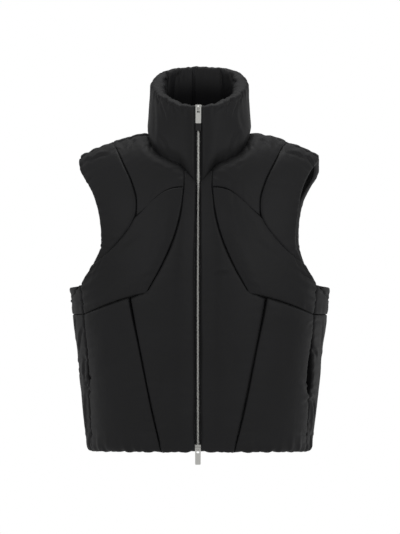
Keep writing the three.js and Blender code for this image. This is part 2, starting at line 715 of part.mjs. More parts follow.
// How far the collar has swollen at a share of its height, from 0 at the neckline to 0 at the rim.
function collarSwell(height) {
  if (height > COLLAR_RIM) return Math.sqrt(1 - ((height - COLLAR_RIM) / (1 - COLLAR_RIM)) ** 2);
  return THREE.MathUtils.smoothstep(height, 0, COLLAR_LOW);
}

// One face of the collar: side is 1 for the outside and -1 for the inside.
function collarFace(side) {
  const last = collarFoot.length - 1;
  return collarMiddle.map((row, j) => {
    const height = COLLAR_ROWS[j];
    return row.map((_, i) => {
      const foot = side > 0 ? collarFoot[i].outer : collarFoot[i].inner;
      const edge = collarRim[i].spot.clone().addScaledVector(collarRim[i].out, side * RIM_EDGE);
      const across = row[Math.min(i + 1, last)].clone().sub(row[Math.max(i - 1, 0)]);
      const up = collarMiddle[collarMiddle.length - 1][i].clone().sub(collarMiddle[0][i]);
      const out = across.cross(up).normalize();
      const fromZip = Math.min(row[i].distanceTo(row[0]), row[i].distanceTo(row[last]));
      const pad = side > 0 ? COLLAR_OUTER_PAD : COLLAR_INNER_PAD;
      const swollen = side * pad * collarSwell(height) * swell(fromZip, ZIP_SWELL_WIDTH);
      const spot = foot.clone().lerp(edge, height).addScaledVector(out, swollen);
      if (i === 0) spot.x = zipEdgeX;
      if (i === last) spot.x = -zipEdgeX;
      return spot;
    });
  });
}

addPiece("collar", CLOTH, wallBetween(collarFace(1), collarFace(-1)));

// The zip runs up the middle of the gap, first between the fronts and then between the collar's ends.
const zipOnBody = zipEdge(centreOuterEdge).map((place) => {
  const spot = onBody(place.x, place.y).addScaledVector(directionsAt(place.x, place.y).out, ZIP_LEVEL);
  return new THREE.Vector3(0, spot.y, spot.z);
});
const zipOnCollar = collarMiddle.map((row) => new THREE.Vector3(0, row[0].y, row[0].z));
const zipPath = [...zipOnBody, ...zipOnCollar.slice(1)];

// The zip's middle at height z, and its direction up.
function zipAt(z) {
  const above = zipPath.findIndex((point) => point.z > z);
  const k = above < 0 ? zipPath.length - 1 : Math.max(above, 1);
  const [low, high] = [zipPath[k - 1], zipPath[k]];
  return {
    spot: low.clone().lerp(high, (z - low.z) / (high.z - low.z)),
    up: high.clone().sub(low).normalize(),
  };
}

// A strip along the zip between two heights, from x = left to x = right.
function zipStrip(left, right, thickness, bottom, top) {
  const between = zipPath.map((point) => point.z).filter((z) => z > bottom + 1 && z < top - 1);
  const heights = [bottom, ...between, top];
  const face = (offset) =>
    heights.map((z) => {
      const { spot, up } = zipAt(z);
      const out = new THREE.Vector3(1, 0, 0).cross(up);
      return [left, right].map((x) => spot.clone().setX(x).addScaledVector(out, offset));
    });
  return wallBetween(face(thickness / 2), face(-thickness / 2));
}

const zipFoot = zipPath[0].z;
const zipTop = zipPath[zipPath.length - 1].z;
const topSliderZ = zipTop - TOP_SLIDER_BELOW_RIM;
const bottomSliderZ = zipFoot + BOTTOM_SLIDER_ABOVE_HEM;
const tape = zipStrip(TAPE.inner, TAPE.outer, TAPE.thickness, zipFoot, zipTop);
addPiece("zip_tape_l", TAPE_CLOTH, tape);
addPiece("zip_tape_r", TAPE_CLOTH, mirroredGeometry(tape));
addPiece("zip_teeth", NICKEL, zipStrip(-CHAIN.half, CHAIN.half, CHAIN.thickness, bottomSliderZ, topSliderZ));

const wasm = await Module();
wasm.setup();

function solidOf(geometry) {
  const bare = geometry.clone();
  bare.deleteAttribute("normal");
  bare.deleteAttribute("uv");
  const merged = mergeVertices(bare, 1e-5);
  return new wasm.Manifold(
    new wasm.Mesh({
      numProp: 3,
      vertProperties: new Float32Array(merged.getAttribute("position").array),
      triVerts: new Uint32Array(merged.getIndex().array),
    }),
  );
}

function joined(...geometries) {
  const whole = geometries.map(solidOf).reduce((sum, solid) => sum.add(solid));
  const { vertProperties, triVerts } = whole.getMesh();
  const geometry = new THREE.BufferGeometry();
  geometry.setAttribute("position", new THREE.BufferAttribute(vertProperties, 3));
  geometry.setIndex(new THREE.BufferAttribute(triVerts, 1));
  geometry.computeVertexNormals();
  return geometry;
}

// A plate with the outline given in x and z, from y = near forward by its thickness.
function plate(outline, thickness, near, hole) {
  const shape = new THREE.Shape(outline.map(([x, z]) => new THREE.Vector2(x, z)));
  if (hole) shape.holes.push(new THREE.Path(hole.map(([x, z]) => new THREE.Vector2(x, z))));
  return new THREE.ExtrudeGeometry(shape, { depth: thickness, bevelEnabled: false })
    .rotateX(Math.PI / 2)
    .translate(0, near, 0);
}

// A slider, with its wedge end up: two plates, the wedge that parts the teeth and the pull's bail.
function sliderGeometry() {
  const [low, wide, top] = [SLIDER.chainEnd / 2, SLIDER.wedgeEnd / 2, SLIDER.height / 2];
  const shoulder = top - SLIDER.chamfer;
  const outline = [
    [-low, -top], [low, -top], [wide, 0], [wide, shoulder],
    [wide - SLIDER.chamfer, top], [SLIDER.chamfer - wide, top], [-wide, shoulder], [-wide, 0],
  ];
  const face = SLIDER.gap / 2 + SLIDER.plate;
  const wedgeHeight = WEDGE.to - WEDGE.from;
  const wedge = new THREE.BoxGeometry(WEDGE.width, SLIDER.gap + SLIDER.plate, wedgeHeight)
    .translate(0, 0, WEDGE.from + wedgeHeight / 2);
  const [hole, outer] = [BAIL.clear, BAIL.clear + BAIL.metal];
  const reach = 2 * BAIL.clear;
  const arch = new THREE.Shape([
    [-outer, -BAIL.root], [-outer, reach], [-hole, reach + BAIL.metal], [hole, reach + BAIL.metal],
    [outer, reach], [outer, -BAIL.root], [hole, -BAIL.root], [hole, reach],
    [-hole, reach], [-hole, -BAIL.root],
  ].map(([z, away]) => new THREE.Vector2(z, away)));
  // The arch is drawn with z across and the distance from the plate up, then stood on the front plate.
  const bail = new THREE.ExtrudeGeometry(arch, { depth: BAIL.width, bevelEnabled: false })
    .translate(0, 0, -BAIL.width / 2)
    .applyMatrix4(new THREE.Matrix4().makeBasis(
      new THREE.Vector3(0, 0, 1),
      new THREE.Vector3(0, -1, 0),
      new THREE.Vector3(1, 0, 0),
    ))
    .translate(0, -face, 0);
  return joined(
    plate(outline, SLIDER.plate, -SLIDER.gap / 2),
    plate(outline, SLIDER.plate, face),
    wedge,
    bail,
  );
}

// A flat pull that hangs from the origin by the bar above its slot.
function pullGeometry(length) {
  const [half, bar, slot] = [PULL.width / 2, PULL.bar / 2, PULL.slotWidth / 2];
  const foot = bar - length;
  return plate(
    [[-half, foot + 1], [1 - half, foot], [half - 1, foot], [half, foot + 1], [half, bar], [-half, bar]],
    PULL.thickness,
    PULL.thickness / 2,
    [[-slot, -bar], [slot, -bar], [slot, -bar - PULL.slotLength], [-slot, -bar - PULL.slotLength]],
  );
}

const pivotAhead = SLIDER.gap / 2 + SLIDER.plate + BAIL.clear;
const tiltOf = (up) => Math.atan2(-up.y, up.z);

// The upper slider and its pull lean back with the collar's front.
const topSlider = zipAt(topSliderZ);
const topTilt = tiltOf(topSlider.up);
addPiece("zip_slider_top", NICKEL, sliderGeometry(), topSlider.spot).rotation.x = topTilt;
const topPivot = new THREE.Vector3(0, -pivotAhead, 0)
  .applyAxisAngle(new THREE.Vector3(1, 0, 0), topTilt)
  .add(topSlider.spot);
addPiece("zip_pull_top", NICKEL, pullGeometry(TOP_PULL_LENGTH), topPivot).rotation.x = topTilt;
const endTop = PULL.bar / 2 - TOP_PULL_LENGTH - SEAM_GAP;
const endBox = new THREE.BoxGeometry(PULL_END.width, PULL_END.thickness, PULL_END.length)
  .translate(0, 0, endTop - PULL_END.length / 2);
addPiece("zip_pull_top_end", BLACK_LEATHER, endBox, topPivot).rotation.x = topTilt;

// The lower slider works the other way up. Its pull hangs straight down, past the hem.
const bottomSlider = zipAt(bottomSliderZ);
const bottomTilt = tiltOf(bottomSlider.up);
const turnedSlider = sliderGeometry().rotateY(Math.PI);
const lowerSlider = addPiece("zip_slider_bottom", NICKEL, turnedSlider, bottomSlider.spot);
lowerSlider.rotation.x = bottomTilt;
const bottomPivot = new THREE.Vector3(0, -pivotAhead, 0)
  .applyAxisAngle(new THREE.Vector3(1, 0, 0), bottomTilt)
  .add(bottomSlider.spot);
addPiece("zip_pull_bottom", NICKEL, pullGeometry(BOTTOM_PULL_LENGTH), bottomPivot);

export default group;
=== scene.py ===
# A padded sleeveless jacket with a funnel collar and a metal zip, shown filled out with nobody in it.
# Sizes in the tables are millimetres and become metres where a mesh is made. +Z is up, the front
# faces -Y and +X is the wearer's left.
import json
import math

import bpy
import numpy as np
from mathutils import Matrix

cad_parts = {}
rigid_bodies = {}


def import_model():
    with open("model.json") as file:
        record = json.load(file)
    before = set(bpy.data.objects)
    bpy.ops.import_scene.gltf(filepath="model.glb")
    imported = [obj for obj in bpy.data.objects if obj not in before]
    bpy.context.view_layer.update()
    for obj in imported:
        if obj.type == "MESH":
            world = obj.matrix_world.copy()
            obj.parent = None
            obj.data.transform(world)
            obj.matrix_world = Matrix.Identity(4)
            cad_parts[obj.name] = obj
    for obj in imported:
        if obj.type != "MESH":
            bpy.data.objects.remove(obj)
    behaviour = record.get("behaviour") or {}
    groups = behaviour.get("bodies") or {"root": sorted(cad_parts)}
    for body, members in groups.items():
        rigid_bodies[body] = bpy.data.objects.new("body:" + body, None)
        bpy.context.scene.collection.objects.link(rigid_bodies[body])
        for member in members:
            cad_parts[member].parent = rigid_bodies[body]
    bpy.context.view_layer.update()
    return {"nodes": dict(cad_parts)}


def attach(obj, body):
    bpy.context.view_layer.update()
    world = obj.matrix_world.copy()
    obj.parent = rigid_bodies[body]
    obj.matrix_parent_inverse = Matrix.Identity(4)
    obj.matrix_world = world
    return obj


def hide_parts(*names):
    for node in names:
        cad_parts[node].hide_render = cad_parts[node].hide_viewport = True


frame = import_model()
MM = 0.001

# Camera
CAMERA_AZIMUTH = math.radians(1.5)
CAMERA_DISTANCE = 4.0
CAMERA_AIM = (0.0006, 0.0, -0.251)
CAMERA_LENS = 143.8
CAMERA_SENSOR = 36.0
CAMERA_CLIP = 50.0


def add_object(name, data):
    obj = bpy.data.objects.new(name, data)
    bpy.context.collection.objects.link(obj)
    return obj


def add_camera():
    data = bpy.data.cameras.new("camera")
    data.lens = CAMERA_LENS
    data.sensor_width = CAMERA_SENSOR
    data.clip_end = CAMERA_CLIP
    camera = add_object("camera", data)
    away = np.array([math.sin(CAMERA_AZIMUTH), -math.cos(CAMERA_AZIMUTH), 0])
    camera.location = CAMERA_AIM + CAMERA_DISTANCE * away
    camera.rotation_euler = (math.pi / 2, 0, CAMERA_AZIMUTH)
    bpy.context.scene.camera = camera


add_camera()

# Cloth and padding: the wall at a seam, and how much thicker it may be in mid panel
SEAM_THICKNESS = 4.0
PADDING = 14.8
# The share of the padding at a seam. Most of the rest comes back over the groove, this share over the crown
SEAM_SHARE = 0.52
GROOVE_WIDTH = 2.5
CROWN_WIDTH = 30.0
CROWN_SHARE = 0.08
# A seam that is drawn in deeper than usual has a wider groove, by this power of its depth
GROOVE_SPREAD = 1.5
# A seam over the shoulder is drawn in by this share of the usual depth
SHALLOW_SHARE = 0.3
# The hem's edge keeps this share of the padding, which is full again this far above it
HEM_SHARE = 0.2
HEM_ROUNDING = 17.0
NECK_SWELL_WIDTH = 22.0
NECK_SHARE = 0.4
ZIP_SWELL_WIDTH = 34.0
ZIP_SHARE = 0.4
# How far the cloth laps over the zip, and over what distance it comes to that
ZIP_OVERHANG = 3.4
ZIP_OVERHANG_REACH = 9.0
# Unevenness of the filling: cells across, and height
PANEL_NOISE = ((3, 0.12), (11, 0.7))

# The cloth's settling: how much longer it is for each millimetre of puckers, up to so many of them
CLOTH_GROWTH = 0.03
GATHER_MOST = 1.5
# How hard the filling presses, how often the cloth is pulled straight, and the speed it keeps
CLOTH_PUSH = 0.03
CLOTH_PASSES = 40
SPEED_KEPT = 0.85
# How stiff the cloth is across its weave and against small folds, and how firmly its height is held
SLANT_SHARE = 0.3
PANEL_BEND = 0.08
COLLAR_BEND = 0.06
HEIGHT_SHARE = 0.5
# How far it may lie off its drawn height: at a seam, and how much more in mid panel
BALLOON = (0.5, 1.8)
# How far apart its points are, and how often those inside a panel are evened out
SPACING = 2.6
FILLING_PASSES = 80

# Points along a line, a span between two places, a length table and the neckline
LINE_POINTS = 97
SPAN_STEPS = 24
LENGTH_POINTS = 4001
NECK_STEPS = 160
# How often a height on the body is corrected, and the small turn that finds a slope there
BODY_PASSES = 8
SMALL_TURN = 1e-3

# The body that the lining follows
HEM_Z = -594.0
HEM_LIFT = 7.0
# How the gathered hem rises and falls: heights, and radians a degree round the body
HEM_WAVES = ((0.8, 0.61), (0.5, 0.97), (0.3, 1.9))
RIDGE_TOP = -8.0
RIDGE_FALL = 900.0
FRONT_ROUND = 110.0
BACK_ROUND = 60.0
DROP_UNIT = 100.0
SHOULDER_SEAM_DROP = 2.2
SIDE_SEAM = 115.0
HEM_SIDE_SEAM = 108.0
ZIP_EDGE = 8.5
SEAM_GAP = 0.3

# Height, half width, depth in front and depth behind
BODY = np.array([
    (-620, 187, 114, 96),
    (-583, 191, 116, 98),
    (-500, 200, 121, 101),
    (-400, 210, 125, 104),
    (-315, 221.5, 128, 106),
    (-220, 228, 128, 106),
    (-120, 228, 126, 106),
    (40, 226, 124, 105),
], float)
HALF, FRONT, BACK = 1, 2, 3


def column(z, which):
    """A smooth value between the body table's rows."""
    heights = BODY[:, 0]
    values = BODY[:, which]
    slopes = np.empty_like(values)
    slopes[1:-1] = (values[2:] - values[:-2]) / (heights[2:] - heights[:-2])
    slopes[0] = (values[1] - values[0]) / (heights[1] - heights[0])
    slopes[-1] = (values[-1] - values[-2]) / (heights[-1] - heights[-2])
    k = np.clip(np.searchsorted(heights, z, side="right") - 1, 0, len(heights) - 2)
    span = heights[k + 1] - heights[k]
    t = np.clip((z - heights[k]) / span, 0, 1)
    t2, t3 = t * t, t * t * t
    return (
        (2 * t3 - 3 * t2 + 1) * values[k]
        + (t3 - 2 * t2 + t) * slopes[k] * span
        + (3 * t2 - 2 * t3) * values[k + 1]
        + (t3 - t2) * slopes[k + 1] * span
    )


def ridge(x):
    """The height of the shoulder line."""
    return RIDGE_TOP - x * x / RIDGE_FALL


def on_body(places):
    """The body's points at places, each an angle round from the centre back and the root of how far
    below the shoulder line it lies, which is negative past that line."""
    phi, tau = places[..., 0], places[..., 1]
    drop = DROP_UNIT * tau * tau
    z = RIDGE_TOP - drop
    for _ in range(BODY_PASSES):
        x = column(z, HALF) * np.sin(phi)
        z = ridge(x) - drop
    across = np.cos(phi) * np.where(tau < 0, -1, 1)
    behind = across >= 0
    depth = np.where(behind, column(z, BACK), column(z, FRONT))
    fullness = np.sqrt(1 - np.exp(-drop / np.where(behind, BACK_ROUND, FRONT_ROUND)))
    return np.stack([x, depth * across * fullness, z], -1)


def out_of_body(places):
    round_ = on_body(places + (SMALL_TURN, 0)) - on_body(places - (SMALL_TURN, 0))
    down = on_body(places + (0, SMALL_TURN)) - on_body(places - (0, SMALL_TURN))
    return unit(np.cross(round_, down))


def unit(vectors):
    return vectors / np.maximum(np.linalg.norm(vectors, axis=-1, keepdims=True), 1e-12)


def from_front(x, z):
    """Places that show at x and z from the front."""
    x, z = np.asarray(x, float), np.asarray(z, float)
    phi = math.pi - np.arcsin(np.minimum(np.abs(x) / column(z, HALF), 1))
    return np.stack([phi, np.sqrt(np.maximum(ridge(x) - z, 0) / DROP_UNIT)], -1)


def from_behind(x, z):
    places = from_front(x, z)
    places[..., 0] = math.pi - places[..., 0]
    return places


def around(angle, z):
    """Places at an angle from the centre back, in degrees, and a height."""
    angle = np.radians(np.asarray(angle, float))
    x = column(np.asarray(z, float), HALF) * np.sin(angle)
    tau = np.sqrt(np.maximum(ridge(x) - z, 0) / DROP_UNIT)
    return np.stack([angle + 0 * tau, tau], -1)


def on_shoulder_seam(x):
    return from_front(x, ridge(x) - SHOULDER_SEAM_DROP)


def across_shoulder(places):
    return np.stack([math.pi - places[..., 0], -places[..., 1]], -1)


def mirrored(places):
    return places * (-1, 1)


def hem_at(angle):
    angle = np.asarray(angle, float)
    waves = sum(height * np.sin(np.abs(angle) * per_degree) for height, per_degree in HEM_WAVES)
    return around(angle, HEM_Z + HEM_LIFT * np.maximum(-np.cos(np.radians(angle)), 0) + waves)


def smooth(*groups, first=0, last=None):
    """A smooth dense line through the places given, which may come as single places or lists, from
    the first place to the last."""
    points = np.concatenate([np.atleast_2d(group) for group in groups])
    points = np.concatenate([[2 * points[0] - points[1]], points, [2 * points[-1] - points[-2]]])
    gaps = np.maximum(np.sum((points[1:] - points[:-1]) ** 2, 1) ** 0.25, 1e-4)
    t = np.linspace(0, 1, SPAN_STEPS + 1)[:-1, None]
    line = []
    for k in range(1, len(points) - 2):
        p0, p1, p2, p3 = points[k - 1:k + 3]
        g0, g1, g2 = gaps[k - 1:k + 2]
        slope1 = ((p1 - p0) / g0 - (p2 - p0) / (g0 + g1) + (p2 - p1) / g1) * g1
        slope2 = ((p2 - p1) / g1 - (p3 - p1) / (g1 + g2) + (p3 - p2) / g2) * g1
        line.append(
            p1 + slope1 * t + (-3 * p1 + 3 * p2 - 2 * slope1 - slope2) * t ** 2
            + (2 * p1 - 2 * p2 + slope1 + slope2) * t ** 3
        )
    last = len(line) if last is None else last
    return np.concatenate(line[first:last] + [points[last + 1:last + 2]])


def front_line(rows):
    return from_front(*np.array(rows, float).T)


# Seams of the wearer's left front, seen from the front: x and z
NECKLINE_AT_ZIP = [(8.5, -98), (17, -86), (25, -76)]
NECKLINE = [(25, -76), (32, -69), (54, -60), (72, -50), (83, -34)]
STAND_SEAM = [(25, -76), (25, -110)]
CHEST_ARC = [(25, -110), (45, -112), (60, -118), (79, -134), (96, -152), (109.5, -163)]
SHOULDER_ARC = [
    (134.5, -66), (116, -104), (107.5, -134), (109.5, -163),
    (120, -184), (148, -217), (187.5, -254),
]
CHEST_ARC_MEETS = 4
BUST_SEAM = [(25, -110), (31.5, -161), (44.5, -207), (64.5, -252), (90, -299)]
WAIST_INNER = [(90, -299), (120.5, -306)]
WAIST_OUTER = [(120.5, -306), (147, -315), (176, -326)]
SKIRT_SEAM = [(120.5, -306), (108.7, -366), (97.5, -422), (86.8, -478), (76.3, -528)]
ARMHOLE_FRONT = [
    (211.5, -78), (201, -97), (187.5, -120), (176, -155),
    (171.5, -192), (173, -220), (187.5, -254),
]
# The wearer's left front is a little further in at the armhole, so that the back's edge shows past it
ARMHOLE_LEFT_INSET = 12.0
ARMHOLE_LEFT_INSET_Z = -88.0
ARMHOLE_LEFT_INSET_REACH = 42.0
ARMHOLE_FRONT_FOOT = [(187.5, -254), (193, -264)]
# The back armhole: angle round from the centre back, and z
ARMHOLE_BACK_FOOT = [(115, -281), (107, -295), (97, -308), (87, -311), (78, -308), (68, -290), (57.8, -256)]
ARMHOLE_BACK = [(57.8, -256), (52.6, -219), (51.8, -175), (54.8, -133), (60.8, -106), (69.5, -80)]
BACK_ARC = [(150, -205), (128, -165), (124, -125), (134, -80), (150, -42)]
# The back neckline: x, and how far below the shoulder line
BACK_NECK = np.array([(84, 2.5), (70, 9), (40, 17), (0, 20)], float)
SKIRT_SEAM_AT_HEM = 62.5
SHOULDER_ARC_TOP = 156.0
NECK_POINT = 86.5
SHOULDER_TIP = 216.0
WAIST_SEAM_SIDE_Z = -337.0
UNDERARM_Z = -281.0
SIDE_SEAM_HEIGHTS = (-400.0, -460.0, -530.0)

arc_top = on_shoulder_seam(SHOULDER_ARC_TOP)
neck_point = on_shoulder_seam(NECK_POINT)
shoulder_tip = on_shoulder_seam(SHOULDER_TIP)
underarm = around(SIDE_SEAM, UNDERARM_Z)
waist_side = around(SIDE_SEAM, WAIST_SEAM_SIDE_Z)
hem_side = hem_at(HEM_SIDE_SEAM)


def side_seam_at(z):
    share = np.clip((WAIST_SEAM_SIDE_Z - z) / (WAIST_SEAM_SIDE_Z - HEM_Z), 0, 1)
    return around(SIDE_SEAM + (HEM_SIDE_SEAM - SIDE_SEAM) * share, z)


def hem_place(x):
    """Where the hem shows at x from the front."""
    z = HEM_Z + HEM_LIFT
    return hem_at(180 - math.degrees(math.asin(x / float(column(z, HALF)))))


def left_inset(z):
    return ARMHOLE_LEFT_INSET * math.exp(-((z - ARMHOLE_LEFT_INSET_Z) / ARMHOLE_LEFT_INSET_REACH) ** 2)


shoulder_arc = smooth(arc_top, front_line(SHOULDER_ARC), last=CHEST_ARC_MEETS)
arc_foot = smooth(arc_top, front_line(SHOULDER_ARC), first=CHEST_ARC_MEETS)
chest_arc = smooth(front_line(CHEST_ARC))
neck_at_zip = smooth(front_line(NECKLINE_AT_ZIP))
neck_front = smooth(front_line(NECKLINE), neck_point)
stand_seam = smooth(front_line(STAND_SEAM))
bust_seam = smooth(front_line(BUST_SEAM))
waist_inner = smooth(front_line(WAIST_INNER))
waist_outer = smooth(front_line(WAIST_OUTER), waist_side)
skirt_foot = hem_place(SKIRT_SEAM_AT_HEM)
skirt_seam = smooth(front_line(SKIRT_SEAM), skirt_foot)
shoulder_inner = smooth(neck_point, on_shoulder_seam((NECK_POINT + SHOULDER_ARC_TOP) / 2), arc_top)
shoulder_outer = smooth(arc_top, on_shoulder_seam((SHOULDER_TIP + SHOULDER_ARC_TOP) / 2), shoulder_tip)
armhole_front = smooth(shoulder_tip, front_line(ARMHOLE_FRONT))
armhole_front_l = smooth(shoulder_tip, front_line([(x - left_inset(z), z) for x, z in ARMHOLE_FRONT]))
armhole_front_foot = smooth(front_line(ARMHOLE_FRONT_FOOT), underarm)
side_upper = smooth(underarm, waist_side)
side_lower = smooth(waist_side, *[side_seam_at(z) for z in SIDE_SEAM_HEIGHTS], hem_side)

# The pocket mouth in the side seam
POCKET_TOP = -368.0
POCKET_BOTTOM = -486.0
# How far the front's edge stands forward there, on the wearer's left and right
POCKET_GAPES = (9.0, 4.0)
# How far the back's edge stands back there, on the wearer's left
POCKET_BACK_GAPE = 9.0
# The mouth is widest a quarter of the way up and narrows softly to both ends
POCKET_LEAN = 0.5
POCKET_NARROWING = 1.2


def pocket_edge(places, gape):
    """A side seam's edge that stands off forward by the gape along the pocket mouth, or back if that
    is negative."""
    spots = on_body(places)
    share = np.clip((spots[:, 2] - POCKET_BOTTOM) / (POCKET_TOP - POCKET_BOTTOM), 0, 1)
    opened = gape * np.sin(np.pi * share ** POCKET_LEAN) ** POCKET_NARROWING
    turned_a_little = on_body(places + (SMALL_TURN, 0))
    per_turn = np.linalg.norm(turned_a_little - spots, axis=1) / SMALL_TURN
    return places + np.stack([opened / per_turn, 0 * opened], -1)


def hem_between(start, end):
    return hem_at(np.degrees(np.linspace(start[0], end[0], LINE_POINTS)))


hem_zip = hem_place(ZIP_EDGE)
hem_inner = hem_between(hem_zip, skirt_foot)
hem_outer = hem_between(skirt_foot, hem_side)
zip_heights = np.linspace(float(on_body(hem_zip)[2]), NECKLINE_AT_ZIP[0][1], LINE_POINTS)
zip_edge = from_front(np.full(LINE_POINTS, ZIP_EDGE), zip_heights)
shoulder_inner_back = across_shoulder(shoulder_inner)
shoulder_outer_back = across_shoulder(shoulder_outer)
armhole_back_foot = smooth(around(*np.array(ARMHOLE_BACK_FOOT, float).T))
armhole_back = smooth(around(*np.array(ARMHOLE_BACK, float).T), shoulder_outer_back[-1])
back_arc = smooth(armhole_back[0], from_behind(*np.array(BACK_ARC, float).T), shoulder_inner_back[-1])
neck_back_half = smooth(
    shoulder_inner_back[0],
    from_behind(BACK_NECK[:, 0], ridge(BACK_NECK[:, 0]) - BACK_NECK[:, 1]),
)
waist_back = around(np.linspace(SIDE_SEAM, -SIDE_SEAM, 2 * LINE_POINTS - 1), WAIST_SEAM_SIDE_Z)
hem_back = hem_at(np.linspace(HEM_SIDE_SEAM, -HEM_SIDE_SEAM, 2 * LINE_POINTS - 1))


def length_of(places):
    return runs(on_body(places), 0)


# How much closer the grid's lines are at a panel's edges
CROWDING = 0.55


def crowded(t):
    """Even steps from 0 to 1 turned into steps that are small at both ends."""
    return t - CROWDING / (2 * math.pi) * np.sin(2 * math.pi * t)


def resampled(lines, steps, crowd=False):
    """The lines end to end, in that many steps, with every corner between them kept."""
    lengths = [length_of(line) for line in lines]
    totals = np.array([run[-1] for run in lengths])
    ends = np.concatenate([[0], np.cumsum(totals)]) / max(totals.sum(), 1e-9)
    even = np.linspace(0, 1, LENGTH_POINTS)
    shares = crowded(even) if crowd else even
    at_ends = np.interp(ends, shares, even)
    bounds = np.round(at_ends * steps).astype(int)
    for k in range(1, len(bounds)):
        bounds[k] = max(bounds[k], bounds[k - 1] + 1)
    bounds[-1] = steps
    places = []
    for k, (line, run) in enumerate(zip(lines, lengths)):
        t = np.linspace(at_ends[k], at_ends[k + 1], bounds[k + 1] - bounds[k] + 1)
        at = (np.interp(t, even, shares) - ends[k]) * totals.sum()
        at[0], at[-1] = 0, run[-1]
        part = np.stack([np.interp(at, run, line[:, 0]), np.interp(at, run, line[:, 1])], -1)
        places.append(part if k == 0 else part[1:])
    return np.concatenate(places)


def turned(lines):
    return [line[::-1] for line in lines[::-1]]


def steps_for(*sides):
    longest = max(sum(length_of(line)[-1] for line in side) for side in sides)
    return max(6, round(longest / SPACING))


def grid_between(bottom, right, top, left):
    """Places that fill the outline. bottom and top run to the right as seen from outside, left and
    right run up. Each is a list of lines."""
    columns = steps_for(bottom, top)
    rows = steps_for(left, right)
    foot, head = resampled(bottom, columns, True), resampled(top, columns, True)
    near, far = resampled(left, rows, True), resampled(right, rows, True)
    u = crowded(np.linspace(0, 1, columns + 1))[None, :, None]
    v = crowded(np.linspace(0, 1, rows + 1))[:, None, None]
    grid = (
        (1 - v) * foot[None] + v * head[None] + (1 - u) * near[:, None] + u * far[:, None]
        - (1 - u) * ((1 - v) * foot[0] + v * head[0]) - u * ((1 - v) * foot[-1] + v * head[-1])
    )
    gap_u, gap_v = np.diff(u, axis=1), np.diff(v, axis=0)
    west, east = 1 / gap_u[:, :-1], 1 / gap_u[:, 1:]
    south, north = 1 / gap_v[:-1], 1 / gap_v[1:]
    total_u, total_v = west + east, south + north
    for _ in range(FILLING_PASSES):
        level = (grid[1:-1, :-2] * west + grid[1:-1, 2:] * east) / total_u
        upright = (grid[:-2, 1:-1] * south + grid[2:, 1:-1] * north) / total_v
        grid[1:-1, 1:-1] = (level + upright) / 2
    return grid


def swell(distance, width):
    """A quarter round from 0 at a seam to 1 at the width."""
    return np.sqrt(1 - (1 - np.minimum(distance / width, 1)) ** 2)


def runs(spots, axis):
    """The way along an axis from its first point to each point."""
    gaps = np.linalg.norm(np.diff(spots, axis=axis), axis=-1)
    total = np.cumsum(gaps, axis=axis)
    first = np.zeros_like(np.take(total, [0], axis=axis))
    return np.concatenate([first, total], axis=axis)


def blurred_noise(rng, shape, cells):
    """Smooth noise from about -1 to 1 with bumps about that many cells across."""
    noise = rng.standard_normal(shape)
    for axis in (0, 1):
        reach = int(3 * cells)
        kernel = np.exp(-0.5 * (np.arange(-reach, reach + 1) / cells) ** 2)
        kernel /= kernel.sum()
        padded = np.pad(noise, [(reach, reach) if k == axis else (0, 0) for k in (0, 1)], mode="wrap")
        noise = np.apply_along_axis(lambda line: np.convolve(line, kernel, "valid"), axis, padded)
    return noise / noise.std()


def uneven(rng, shape, table):
    return sum(height * blurred_noise(rng, shape, cells) for cells, height in table)


def grid_normals(x):
    return unit(np.cross(np.gradient(x, axis=1), np.gradient(x, axis=0)))


def pull_together(a, b, rest, share, weight_a, weight_b):
    """Moves two sets of points until their distances come near the rest lengths."""
    gap = b - a
    distance = np.sqrt(np.einsum("...i,...i", gap, gap))
    weight = weight_a + weight_b
    change = share * (distance - rest) / np.maximum(distance * weight, 1e-9)
    move = gap * change[..., None]
    a += move * weight_a[..., None]
    b -= move * weight_b[..., None]


def pull_pairs(first, second, rest, share, k, gap=1):
    """Pulls points of the first grid towards those of the second that lie gap columns on, for every
    pair that starts at column k and a whole number of gap + 1 columns after it. A grid is given with
    its weights."""
    step = gap + 1
    ahead, behind = slice(k, -gap, step), slice(k + gap, None, step)
    a, b = first[0][:, ahead], second[0][:, behind]
    n = min(a.shape[1], b.shape[1])
    pull_together(a[:, :n], b[:, :n], rest[:, k::step][:, :n], share, first[1][:, ahead][:, :n],
                  second[1][:, behind][:, :n])


def lengths_between(a, b):
    return np.linalg.norm(b - a, axis=-1)


def inner_points(shape):
    """1 for the points that may move and 0 along the grid's edges."""
    free = np.zeros(shape)
    free[1:-1, 1:-1] = 1
    return free


